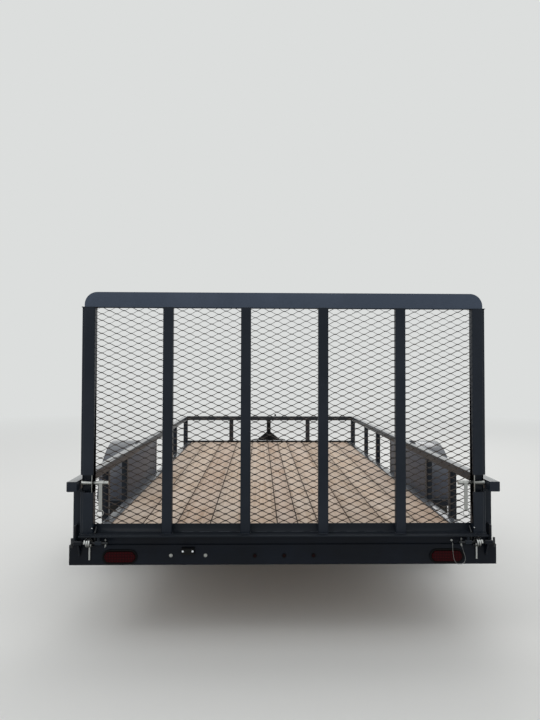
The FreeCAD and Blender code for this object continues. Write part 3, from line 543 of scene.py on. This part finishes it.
TUCK = mm(2)
panels = softened("wheel_bay_panels", PLATE_EDGE)
for vert in panels.verts:
    if vert.co.z > rail_low.z - TUCK:
        vert.co.z += TUCK
finished(panels, "wheel_bay_sheets", "chassis", sky_lit_panel_enamel, ["wheel_bay_panels"])

CHEEK, UNDER_SKIN, SKIRT = mm(3), mm(2.5), mm(8)
cheeks = bmesh.new()
for side_name, sign in SIDES:
    low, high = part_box("fender_" + side_name)
    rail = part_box("top_rail_" + side_name)
    tall, half_long = high.z - low.z, (high.y - low.y) / 2
    r = (half_long ** 2 + tall ** 2) / (2 * tall)
    axle_at, hub_at = (low.y + high.y) / 2, high.z - r
    side = rail[1].x if sign > 0 else rail[0].x
    swing = acos((rail[1].z - hub_at) / (r - CHEEK))
    curve = [(axle_at + (r - UNDER_SKIN) * sin(a), hub_at + (r - UNDER_SKIN) * cos(a))
             for a in (swing * (i / 12 - 1) for i in range(25))]
    skirt = rail[1].z - SKIRT
    curve += [(curve[-1][0], skirt), (curve[0][0], skirt)]
    plate = cheeks.faces.new([cheeks.verts.new((side, y, z)) for y, z in curve])
    swept = bmesh.ops.extrude_face_region(cheeks, geom=[plate])["geom"]
    bmesh.ops.translate(cheeks, vec=(sign * CHEEK, 0, 0), verts=[v for v in swept if isinstance(v, bmesh.types.BMVert)])
bmesh.ops.recalc_face_normals(cheeks, faces=cheeks.faces)
finished(cheeks, "fender_cheeks", "chassis", sky_lit_panel_enamel)
print("painted steel pieces:", len(tube_ways) + sum(len(names) for names in dressed.values()))

# %% [markdown]
# ## Weld beads
#
# A fillet weld laid by hand is a row of overlapping ripples, 2 to 3 mm apart, on a bead about 5 mm wide. The posts
# are welded to the side angle and to the rail, and the gate's uprights to its foot and top. Short tack welds hold the
# gate's sheet along its lower edge.

# %% Welds
RIPPLE = mm(2.4)
HALF_TACK = mm(32)


def weld(bm, start, end, size=mm(2.6)):
    start, end = Vector(start), Vector(end)
    steps = max(int((end - start).length / RIPPLE * 2), 4)
    wander = [noise.noise(start * 40 + Vector((0, 0, i * 0.3))) for i in range(steps + 1)]
    path = [start.lerp(end, i / steps) + (end - start).orthogonal().normalized() * w * mm(0.5)
            for i, w in enumerate(wander)]
    sweep(bm, path, lambda i: size * (0.35 if i in (0, steps) else 1.0 - 0.16 * (i % 2) + 0.12 * wander[i]), sides=8)


frame_welds = bmesh.new()
for low, high in solids("posts_left") + solids("posts_right"):
    flush = inboard(low, high)
    for y in (low.y, high.y):
        weld(frame_welds, (low.x, y, high.z), (high.x, y, high.z))
        weld(frame_welds, (flush, y, low.z), (flush, y, DECK))
for low, high in solids("posts_front"):
    for x in (low.x, high.x):
        weld(frame_welds, (x, low.y, low.z), (x, high.y, low.z))
        weld(frame_welds, (x, low.y, high.z), (x, high.y, high.z))
    weld(frame_welds, (low.x, low.y, low.z), (high.x, low.y, low.z))
for low, high in solids("bumper_ears"):
    for off in (-mm(4), mm(4)):
        x = low.x / 2 + high.x / 2 + off
        weld(frame_welds, (x, high.y, low.z + mm(4)), (x, high.y, DECK), mm(2))
for node in ("corner_gusset_left", "corner_gusset_right"):
    low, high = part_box(node)
    for x in (low.x, high.x):
        weld(frame_welds, (x, low.y, low.z), (x, high.y, low.z), mm(2))
        weld(frame_welds, (x, high.y, low.z), (x, high.y, high.z), mm(2))
finished(frame_welds, "frame_welds", "chassis", charcoal_enamel, angle=60)

gate_low, gate_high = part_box("gate_bars")
gate_welds = bmesh.new()
for low, high in solids("gate_bars") + [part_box("gate_side_left"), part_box("gate_side_right")]:
    for z in (low.z, high.z):
        weld(gate_welds, (low.x + mm(2), low.y + mm(0.6), z), (high.x - mm(2), low.y + mm(0.6), z), mm(1.6))
        for x in (low.x, high.x):
            weld(gate_welds, (x, low.y + mm(3), z), (x, high.y, z))
for low, high in solids("gate_sleeves"):
    x, y = (low.x + high.x) / 2, (low.y + high.y) / 2
    for side in (-mm(6), mm(6)):
        weld(gate_welds, (x - mm(6), y + side, high.z), (x + mm(6), y + side, high.z), mm(1.8))
        weld(gate_welds, (x + side, y - mm(6), high.z), (x + side, y + mm(6), high.z), mm(1.8))
mesh_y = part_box("gate_mesh")[0].y
for i in range(-6, 7):
    x = i * gate_high.x / 6.6 + mm(70)
    if abs(x) < gate_high.x + mm(200):
        weld(gate_welds, (x - HALF_TACK, mesh_y, gate_low.z), (x + HALF_TACK, mesh_y, gate_low.z), mm(2.4))
finished(gate_welds, "gate_welds", "gate", charcoal_enamel, angle=60)

# %% [markdown]
# ## Deck planks
#
# Rough-sawn boards are never quite flat or equal. Each board is a block with eased edges, cut across every 150 mm so
# that it can bow by a millimetre. The face attribute "board" carries the tone of each one. Steel deck screws hold it
# to every crossmember.

# %% Boards
BOW = mm(1.0)
BEND_EVERY = 0.15
SCREW_IN = mm(28)
boards = solids("deck_planks")
planks = bmesh.new()
for low, high in boards:
    block(planks, low, high, ease=mm(2.2))
cuts = int((deck_high.y - deck_low.y) / BEND_EVERY)
for i in range(1, cuts):
    y = deck_low.y + (deck_high.y - deck_low.y) * i / cuts
    bmesh.ops.bisect_plane(planks, geom=planks.verts[:] + planks.edges[:] + planks.faces[:], plane_co=(0, y, 0),
                           plane_no=(0, 1, 0))
tone = planks.faces.layers.float.new("board")


def board_at(x):
    return min(range(len(boards)), key=lambda i: abs(x - (boards[i][0].x + boards[i][1].x) / 2))


for vert in planks.verts:
    index = board_at(vert.co.x)
    if vert.co.z > DECK - mm(10):
        vert.co.z -= BOW * (0.5 + noise.noise(Vector((index * 3.1, vert.co.y * 0.8, 0))))
for face in planks.faces:
    face[tone] = (board_at(face.calc_center_median().x) * 0.37 + 0.13) % 1.0
finished(planks, "deck_boards", "chassis", weathered_plank, ["deck_planks"])

screws = bmesh.new()
for low, high in solids("crossmembers"):
    for left, right_board in boards:
        for x in (left.x + SCREW_IN, right_board.x - SCREW_IN):
            at = Vector((x, (low.y + high.y) / 2 + mm(6) * noise.noise(Vector((x * 9, low.y * 9, 0))), DECK - mm(1.6)))
            bmesh.ops.create_cone(screws, cap_ends=True, segments=10, radius1=mm(5), radius2=mm(4.4), depth=mm(1.2),
                                  matrix=Matrix.Translation(at))
finished(screws, "deck_screws", "chassis", dull_screw)
print("boards:", len(boards))

# %% [markdown]
# ## Expanded metal
#
# Expanded metal is one steel sheet that was slit and pulled, so its diamonds share their corners and its strands lie
# at a slant. The gate's sheet has diamonds 76 mm long and 34 mm short. Its strands are 6 mm wide and all lean the same
# way, 62 degrees from upright, so they look thin from below and broad from above. One diamond's four strands are made
# once. Arrays repeat them along the row and up the sheet, and planes trim the sheet to the frame.

# %% Gate mesh
LONG_WAY, SHORT_WAY, STRAND, GAUGE, BOND = mm(76.5), mm(34.2), mm(5.8), mm(0.8), mm(6)
SLANT = radians(62)
mesh_low, mesh_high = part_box("gate_mesh")


def strand(bm, points):
    """Flat strip through points, slanted across the sheet."""
    rings = []
    for x, y, z in points:
        corners = [(thick * GAUGE / 2, wide * STRAND / 2) for thick, wide in ((-1, -1), (1, -1), (1, 1), (-1, 1))]
        rings.append([(x, y + t * cos(SLANT) + w * sin(SLANT), z - t * sin(SLANT) + w * cos(SLANT))
                      for t, w in corners])
    skin(bm, rings)


cell = bmesh.new()
reach, lean, climb = LONG_WAY / 2, STRAND / 2 * sin(SLANT), STRAND / 2 * cos(SLANT)
for side in (-1, 1):
    for way in (-1, 1):
        crown = way * (SHORT_WAY / 2 - climb)
        strand(cell, [(side * reach, way * lean, way * climb), (side * (reach - BOND), way * lean, way * climb),
                      (side * BOND, -way * lean, crown), (0, -way * lean, crown)])
bmesh.ops.recalc_face_normals(cell, faces=cell.faces)
unit = bpy.data.meshes.new("diamond")
cell.to_mesh(unit)
cell.free()
carrier = linked("diamond", unit)
columns = int((mesh_high.x - mesh_low.x) / LONG_WAY) + 2
rows = int((mesh_high.z - mesh_low.z) / SHORT_WAY) + 2
for count, step in ((columns, (LONG_WAY, 0, 0)), (rows, (0, 0, SHORT_WAY))):
    array = carrier.modifiers.new("array", "ARRAY")
    array.use_relative_offset, array.use_constant_offset = False, True
    array.count, array.constant_offset_displace = count, step
repeated = bpy.data.meshes.new_from_object(carrier.evaluated_get(bpy.context.evaluated_depsgraph_get()))
bpy.data.objects.remove(carrier)
sheet = bmesh.new()
sheet.from_mesh(repeated)
middle = (mesh_low + mesh_high) / 2
start = Vector((middle.x - (columns - 1) * LONG_WAY / 2, middle.y, middle.z - (rows - 1) * SHORT_WAY / 2))
bmesh.ops.translate(sheet, vec=start, verts=sheet.verts)
for point, normal in ((mesh_low, (-1, 0, 0)), (mesh_high, (1, 0, 0)), (mesh_low, (0, 0, -1)), (mesh_high, (0, 0, 1))):
    cut = bmesh.ops.bisect_plane(sheet, geom=sheet.verts[:] + sheet.edges[:] + sheet.faces[:], plane_co=point,
                                 plane_no=normal, clear_outer=True)
    bmesh.ops.holes_fill(sheet, edges=[e for e in cut["geom_cut"] if isinstance(e, bmesh.types.BMEdge)])
print("expanded metal:", len(sheet.faces), "faces")
finished(sheet, "expanded_metal", "gate", mesh_enamel, ["gate_mesh"], angle=30)
bpy.data.meshes.remove(repeated)
bpy.data.meshes.remove(unit)

# %% [markdown]
# ## Tyres
#
# A trailer tyre is made to roll straight under load: five ribs with grooves between them, zigzag edges and short
# slots on the shoulders, and a sidewall with two thin rings. The profile is repeated round the axle line, and the
# tread's pattern comes from moving some of its points: the zigzag turns back every third step, and a slot takes two
# steps out of five. The sidewall's points are given as a share of the half width and a rise in millimetres.

# %% Tread and sidewalls
TREAD_STEPS = 180
GROOVE, SLOT, ZIGZAG = mm(6), mm(4), mm(1.6)
SIDEWALL = ((0.88, -28), (0.97, -8), (0.985, -4), (1.0, 4), (0.985, 12), (0.975, 26), (0.985, 29), (0.95, 42))


def tyre_outline(wide, r, bead):
    """(along, radius, kind) from the inner bead over the crown to the outer one; kind marks the pattern."""
    middle = (bead + r) / 2
    half = [(0.66, bead, ""), (0.69, bead + mm(15), "")] + [(a, middle + mm(rise), "") for a, rise in SIDEWALL]
    half += [(0.88, r - mm(14), "slot"), (0.80, r - mm(5), "slot")]
    for place in (0.70, 0.36):
        crown = r - mm(1) - (place ** 2) * mm(4)
        half += [(place + 0.05, crown, "zigzag"), (place + 0.035, r - GROOVE, ""), (place - 0.035, r - GROOVE, ""),
                 (place - 0.05, crown, "zigzag")]
    right_half = [(a * wide, radius, kind) for a, radius, kind in half]
    return [(-a, radius, kind) for a, radius, kind in right_half] + right_half[::-1]


for side_name, _ in SIDES:
    low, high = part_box("tyre_" + side_name)
    rim_low, rim_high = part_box("rim_" + side_name)
    centre = (low + high) / 2
    outline = tyre_outline((high.x - low.x) / 2, (high.z - low.z) / 2, (rim_high.z - rim_low.z) / 2 - mm(14))
    bm = bmesh.new()
    rings = []
    for step in range(TREAD_STEPS):
        angle = 2 * pi * step / TREAD_STEPS
        ring = []
        for a, radius, kind in outline:
            if kind == "slot" and step % 5 < 2:
                radius -= SLOT
            if kind == "zigzag":
                a += ZIGZAG if (step // 3) % 2 else -ZIGZAG
            ring.append(bm.verts.new((centre.x + a, centre.y + radius * cos(angle), centre.z + radius * sin(angle))))
        rings.append(ring)
    for ring, after in zip(rings, rings[1:] + rings[:1]):
        for k in range(len(outline) - 1):
            bm.faces.new((ring[k], after[k], after[k + 1], ring[k + 1]))
        bm.faces.new((ring[-1], after[-1], after[0], ring[0]))
    bmesh.ops.recalc_face_normals(bm, faces=bm.faces)
    finished(bm, "tread_" + side_name, "wheel_" + side_name, tyre_rubber, ["tyre_" + side_name],
             angle=32)

# %% [markdown]
# ## Wheels and hubs
#
# A black modular wheel has five lug nuts on a 114 mm circle, a rubber valve in the rim, and a bright dust cap over
# the bearing. The hub's flange behind the disc is painted black, so the hub's copy carries two materials.

# %% Lug nuts, valve and cap
LUG_CIRCLE, LUG_ACROSS, LUG_TALL = mm(57.2), mm(20), mm(19)
VALVE_IN, VALVE_END, VALVE_DOWN = mm(20), mm(56), mm(165)
for side_name, sign in SIDES:
    body = "wheel_" + side_name
    low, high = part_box("tyre_" + side_name)
    centre = (low + high) / 2
    out = "x" if sign > 0 else "-x"
    nuts = bmesh.new()
    for i in range(5):
        turn = Matrix.Rotation(2 * pi * i / 5, 3, "X") @ Vector((0, 0, LUG_CIRCLE))
        hexagon(nuts, centre + turn + Vector((sign * mm(0.5), 0, 0)), out, LUG_ACROSS, LUG_TALL)
    finished(nuts, "lug_nuts_" + side_name, body, zinc)
    valve = bmesh.new()
    turned(valve, [(0, 0.0), (0, mm(6)), (mm(12), mm(5)), (mm(14), mm(3.6)), (mm(34), mm(3.4)), (mm(36), 0.0)],
           centre + Vector((VALVE_IN if sign > 0 else -VALVE_END, 0, -VALVE_DOWN)), "x", 14)
    finished(valve, "valve_" + side_name, body, grommet_rubber)
    cap = softened("hub_" + side_name, mm(1.5))
    bright = centre.x + sign * mm(23)
    for face in cap.faces:
        face.material_index = 1 if (face.calc_center_median().x - bright) * sign > 0 else 0
    finished(cap, "hub_cap_" + side_name, body, [black_enamel, polished_cap], ["hub_" + side_name])
print("wheels dressed")

# %% [markdown]
# ## Assist springs
#
# Each torsion spring is one length of 10 mm wire: three turns on the hinge pin, a tail straight down the bumper, and
# an arm up behind the gate's foot. The tail leaves the middle turn. The helix is a formula, and the sweep gives it a
# round section.

# %% Coils
WIRE = mm(5.1)
TURNS, TURN_STEPS = 3, 28
hinge = Vector(next(j for j in frame["record"]["behaviour"]["joints"] if j["name"] == "gate_hinge")["pos_m"])
for side_name, sign in SIDES:
    low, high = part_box("assist_spring_" + side_name)
    coil_r = (high.z - hinge.z) - WIRE
    inner, outer = (low.x, high.x) if sign > 0 else (high.x, low.x)
    start, end = inner + sign * WIRE, outer - sign * WIRE
    points = []
    for i in range(TURNS * TURN_STEPS + 1):
        t = i / (TURNS * TURN_STEPS)
        angle = -pi + 2 * pi * TURNS * t
        points.append(Vector((start + (end - start) * t, hinge.y + coil_r * cos(angle), hinge.z + coil_r * sin(angle))))
    bm = bmesh.new()
    sweep(bm, points, WIRE, sides=14)
    x, y = (start + end) / 2, hinge.y + coil_r
    sweep(bm, [Vector((x, y, hinge.z)), Vector((x, y, hinge.z - mm(20))), Vector((x, y, low.z))], WIRE, sides=14)
    finished(bm, "coil_" + side_name, "chassis", spring_zinc, ["assist_spring_" + side_name])
finished(softened("gate_spring_arms", mm(0.8)), "spring_arms", "gate", pin_steel, ["gate_spring_arms"])

# %% [markdown]
# ## Clips, rings and latch trim
#
# Two small parts are bent from wire: a hairpin clip through each hinge pin's inner end, which keeps the pin in place,
# and a ring on each latch handle, to pull it by.

# %% Bent wire
CLIP_WIRE, CLIP_STEP, LOOP_UP, LOOP_R, CLIP_IN = mm(1.4), mm(6), mm(16), mm(7), mm(12)
RING_WIRE, RING_R, HANDLE_IN = mm(1.8), mm(17), mm(38)


def clip(bm, at):
    """Hairpin clip: a loop, one straight leg through the pin and one bowed leg round it."""
    loop = arc(at + Vector((0, 0, LOOP_UP)), at + Vector((0, LOOP_R, LOOP_UP)), AXES["x"], radians(250), 14)
    leg = [loop[0] + Vector((0, 0, -CLIP_STEP * i)) for i in range(6, 0, -1)]
    bow = [loop[-1] + Vector((0, mm(2.5) * sin(i) - mm(1) * i, -CLIP_STEP * i)) for i in range(1, 6)]
    sweep(bm, leg + loop + bow, CLIP_WIRE, sides=8)


clips = bmesh.new()
for low, high in solids("hinge_pins"):
    outward = CLIP_IN if low.x > 0 else -CLIP_IN
    clip(clips, Vector((inboard(low, high) + outward, (low.y + high.y) / 2, (low.z + high.z) / 2)))
finished(clips, "hairpin_clips", "chassis", zinc)

latch_trim = bmesh.new()
for side_name, sign in SIDES:
    low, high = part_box("gate_latch_" + side_name)
    foot = Vector((inboard(low, high) + sign * HANDLE_IN, low.y - mm(1), low.z + mm(6)))
    ring = arc(foot + Vector((0, 0, -RING_R)), foot, AXES["y"], 2 * pi * 0.96, 28)
    sweep(latch_trim, ring, RING_WIRE, sides=8)
finished(latch_trim, "latch_trim", "gate", zinc)

# %% [markdown]
# ## Lamps
#
# The oval tail lamps are 6 inch sealed units held in rubber grommets: a soft ring, then a red lens that stands a
# little proud, with two rows of small optics moulded behind it. Three round lamps sit in the middle. Rings of
# points round an oval are lofted one to the next, from the bumper's face to the middle of the lens. Each ring is
# given in millimetres, as its inset from the lamp's rim and its height off the face. The licence-plate lamp is a black
# housing with two clear domes, and the side markers are red at the back and amber at the front.

# %% Oval and round lamps
GROMMET = ((0, 0), (0, 2.5), (0.8, 4.2), (3, 5.2), (7, 5.0), (9.5, 3.6), (11, 2.2))
LENS_FACE = ((10.8, 1.5), (11, 5.4), (11.8, 6.8), (14, 7.6), (20, 8.1), (28, 8.3))
OPTIC_PITCH, OPTIC_ROW, OPTIC_OUT = mm(14.5), mm(9), mm(8.2)


def oval(centre, half_long, half_tall, y, steps=14):
    """Points round a flat-sided oval in the bumper's plane."""
    ring = []
    for side in (1, -1):
        for k in range(steps + 1):
            a = -pi / 2 + pi * k / steps
            x = half_long - half_tall + half_tall * cos(a)
            ring.append(Vector((centre.x + side * x, y, centre.z + side * half_tall * sin(a))))
    return ring


grommets, lenses, marker_lenses = bmesh.new(), bmesh.new(), bmesh.new()
for low, high in solids("tail_lamps"):
    centre = (low + high) / 2
    half_long, half_tall = (high.x - low.x) / 2, (high.z - low.z) / 2
    for bm, steps, closed in ((grommets, GROMMET, False), (lenses, LENS_FACE, True)):
        skin(bm, [oval(centre, half_long - mm(i), half_tall - mm(i), BACK - mm(d)) for i, d in steps], False, closed)
        bmesh.ops.recalc_face_normals(bm, faces=bm.faces)
    for row in (-1, 1):
        for i in range(9):
            at = Vector((centre.x + (i - 4) * OPTIC_PITCH, BACK - OPTIC_OUT, centre.z + row * OPTIC_ROW))
            bmesh.ops.create_cone(lenses, cap_ends=True, segments=14, radius1=mm(5.4), radius2=mm(3.2), depth=mm(1.1),
                                  matrix=Matrix.Translation(at) @ Matrix.Rotation(pi / 2, 4, "X"))
for low, high in solids("marker_lamps"):
    centre = Vector(((low.x + high.x) / 2, BACK, (low.z + high.z) / 2))
    r = (high.x - low.x) / 2
    turned(grommets, [(0, r), (-mm(2.4), r), (-mm(3.4), r - mm(1.2)), (-mm(3), r - mm(3.4)), (-mm(1), r - mm(3.8))],
           centre, "y", 28)
    turned(marker_lenses, [(-mm(1), r - mm(3.7)), (-mm(3.4), r - mm(4.4)), (-mm(4.6), r * 0.36), (-mm(4.9), 0.0)],
           centre, "y", 28)
finished(grommets, "lamp_grommets", "chassis", grommet_rubber)
finished(lenses, "lamp_lenses", "chassis", red_lens, ["tail_lamps"], angle=28)
finished(marker_lenses, "marker_lenses", "chassis", smoked_lens, ["marker_lamps"], angle=28)

plate_low, plate_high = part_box("plate_lamp")
finished(softened("plate_lamp", mm(2.2)), "plate_lamp_housing", "chassis", moulded_black, ["plate_lamp"])
domes = bmesh.new()
for x in (plate_low.x + mm(8), plate_high.x - mm(8)):
    turned(domes, [(0, mm(5.5)), (-mm(1.5), mm(5.2)), (-mm(3.4), mm(3.4)), (-mm(4.2), 0.0)],
           Vector((x, plate_low.y, (plate_low.z + plate_high.z) / 2 + mm(3))), "y", 20)
finished(domes, "plate_lamp_domes", "chassis", clear_lens)

bases, side_lenses = bmesh.new(), {"red": bmesh.new(), "amber": bmesh.new()}
for low, high in solids("side_markers"):
    wall, sign = inboard(low, high), 1 if low.x > 0 else -1
    colour = "red" if low.y < (BACK + FRONT) / 2 else "amber"
    for bm, near, far, inset, ease in ((bases, 0, mm(5), 0, mm(1.4)),
                                       (side_lenses[colour], mm(4), mm(14), mm(3), mm(3))):
        x = sorted((wall + sign * near, wall + sign * far))
        block(bm, (x[0], low.y + inset, low.z + inset), (x[1], high.y - inset, high.z - inset), ease)
finished(bases, "side_lamp_bases", "chassis", moulded_black, ["side_markers"])
finished(side_lenses["red"], "side_lenses_red", "chassis", red_lens)
finished(side_lenses["amber"], "side_lenses_amber", "chassis", amber_lens)

# %% [markdown]
# ## Bolts and nuts
#
# Plated fasteners are the brightest small things on a new trailer. Each hexagon head stands on the face that it
# clamps: the licence plate's screws, the spring eyes, the U bolts and the jack's plate. A small domed bolt shows on
# each side upright of the gate.

# %% Fasteners
HALF_PLATE = mm(89)
EYE_UP, EYE_IN = mm(23), mm(6)
U_BOLT = (mm(28.5), mm(36), mm(8))
JACK_BOLTS = ((-mm(190), -mm(52)), (mm(190), -mm(52)), (0, mm(54)))
GATE_BOLT_UP = mm(89)
fasteners = bmesh.new()
screw_at = Vector(next(m for m in frame["record"]["mounts"] if m["name"] == "plate_screws")["pos_m"])
for _, sign in SIDES:
    hexagon(fasteners, screw_at + Vector((sign * HALF_PLATE, 0, 0)), "-y", mm(10), mm(7))
for low, high in solids("spring_hangers"):
    y, z = (low.y + high.y) / 2, low.z + EYE_UP
    for x, way in ((high.x - EYE_IN, "x"), (low.x + EYE_IN, "-x")):
        hexagon(fasteners, (x, y, z), way, mm(21), mm(11))
for low, high in solids("spring_seats"):
    middle = (low + high) / 2
    for dx in (-U_BOLT[0], U_BOLT[0]):
        for dy in (-U_BOLT[1], U_BOLT[1]):
            hexagon(fasteners, (middle.x + dx, middle.y + dy, high.z - U_BOLT[2]), "z", mm(16), mm(10))
jack_low, jack_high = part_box("jack_sleeve")
jack_y = (jack_low.y + jack_high.y) / 2
plate_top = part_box("tongue_leg_left")[1].z + mm(8)
for x, y in JACK_BOLTS:
    hexagon(fasteners, (x, jack_y + y, plate_top), "z", mm(15), mm(9))
finished(fasteners, "fasteners", "chassis", zinc)

gate_bolts = bmesh.new()
for side_name, sign in SIDES:
    x = inboard(*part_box("gate_side_" + side_name)) + sign * mm(3)
    turned(gate_bolts, [(0, mm(4.4)), (-mm(1.4), mm(4)), (-mm(3), mm(2.6)), (-mm(3.6), 0.0)],
           Vector((x, gate_low.y, DECK + GATE_BOLT_UP)), "y", 20)
finished(gate_bolts, "gate_bolts", "gate", polished_cap)

# %% [markdown]
# ## Lanyard
#
# A thin steel cable keeps the right-hand clip from being lost. It starts at an eyelet on the sill above the bumper,
# hangs down over the face in a loop, and comes back to the clip. Its line is a smooth spline.

# %% Clip lanyard
pin_low, pin_high = [b for b in solids("hinge_pins") if b[0].x > 0][0]
pin_y, pin_z = (pin_low.y + pin_high.y) / 2, (pin_low.z + pin_high.z) / 2
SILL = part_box("rear_sill")[0].y
EYE_X, EYE_Z = mm(873), DECK + mm(18)
route = [
    (EYE_X, SILL - mm(1), EYE_Z), (EYE_X, BACK - mm(12), DECK + mm(14)),
    (EYE_X, BACK - mm(12), DECK - mm(35)), (mm(880), BACK - mm(12), DECK - mm(84)),
    (mm(908), BACK - mm(11), DECK - mm(108)), (mm(944), BACK - mm(11), DECK - mm(84)),
    (mm(928), BACK - mm(16), DECK - mm(32)), (pin_low.x + CLIP_IN, pin_y - mm(4), pin_z - mm(16)),
]
curve = bpy.data.curves.new("clip_lanyard", "CURVE")
curve.dimensions = "3D"
curve.bevel_depth = mm(0.8)
curve.bevel_resolution = 3
spline = curve.splines.new("NURBS")
spline.points.add(len(route) - 1)
for point, place in zip(spline.points, route):
    point.co = (*place, 1)
spline.order_u = 3
spline.use_endpoint_u = True
spline.resolution_u = 16
curve.materials.append(zinc)
lanyard = linked("clip_lanyard", curve)
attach(lanyard, "chassis")
eyelet = bmesh.new()
turned(eyelet, [(0, mm(6)), (-mm(2), mm(5.6)), (-mm(3), mm(3)), (-mm(3.4), 0.0)],
       Vector((EYE_X, SILL, EYE_Z)), "y", 18)
finished(eyelet, "lanyard_eyelet", "chassis", zinc)

# %% [markdown]
# ## Floor, backdrop and light
#
# A pale floor and a pale sky keep the trailer's outline clear. The floor fades into the backdrop's colour far away, as
# a studio sweep does. The world lights the trailer softly from all round, and shows as a plain colour to the camera
# and in reflections. One broad lamp stands above and behind the camera for the gate, one ahead of the trailer gives
# the bright sheen on the top rails, and one hangs over the bed.

# %% Stage
BACKDROP = "#dcdedd"
FADE = (4.5, 15.0)
middle_bed = Vector((0, (BACK + FRONT) / 2, DECK))
floor_bm = bmesh.new()
bmesh.ops.create_grid(floor_bm, x_segments=1, y_segments=1, size=60)
bmesh.ops.translate(floor_bm, vec=(0, FRONT, GROUND), verts=floor_bm.verts)
floor_mesh = bpy.data.meshes.new("floor")
floor_bm.to_mesh(floor_mesh)
floor_bm.free()
floor = linked("floor", floor_mesh)
pale_floor, tree, shader = new_material("pale studio floor", "#dddcd8", 0.9)
away = add(tree, "VectorMath", {0: coordinates(tree), 1: (0, middle_bed.y, GROUND)}, operation="DISTANCE")
far = remap(tree, away.outputs["Value"], *FADE)
cloth = add(tree, "Emission", {"Color": linear(BACKDROP)})
sweep_up = add(tree, "MixShader", {0: far, 1: shader.outputs[0], 2: cloth.outputs[0]})
tree.links.new(sweep_up.outputs[0], tree.nodes["Material Output"].inputs["Surface"])
floor_mesh.materials.append(pale_floor)

world = bpy.data.worlds.new("soft sky")
bpy.context.scene.world = world
world.use_nodes = True
tree = world.node_tree
rays = add(tree, "LightPath").outputs
seen = add(tree, "Math", {0: rays["Is Camera Ray"], 1: rays["Is Glossy Ray"]}, operation="MAXIMUM")
way = add(tree, "SeparateXYZ", {"Vector": coordinates(tree, "Generated")})
dome = tint(tree, way.outputs["Z"], (0.0, "#cdd2d8"), (0.9, "#f1f3f5"))
sky = blend(tree, seen.outputs[0], dome, linear(BACKDROP))
tree.links.new(sky, tree.nodes["Background"].inputs["Color"])


def soft_lamp(name, place, size, watts):
    lamp = linked(name, bpy.data.lights.new(name, "AREA"))
    lamp.data.shape, lamp.data.size, lamp.data.energy = "DISK", size, watts
    lamp.location = place
    lamp.rotation_mode = "QUATERNION"
    lamp.rotation_quaternion = (middle_bed - Vector(place)).to_track_quat("-Z", "Y")


soft_lamp("key", (-5.0, BACK - 3.0, 6.5), 4.0, 60)
soft_lamp("rim", (2.5, FRONT + 4.5, 6.0), 5.0, 110)
soft_lamp("top", (0.5, middle_bed.y, 7.0), 5.0, 60)
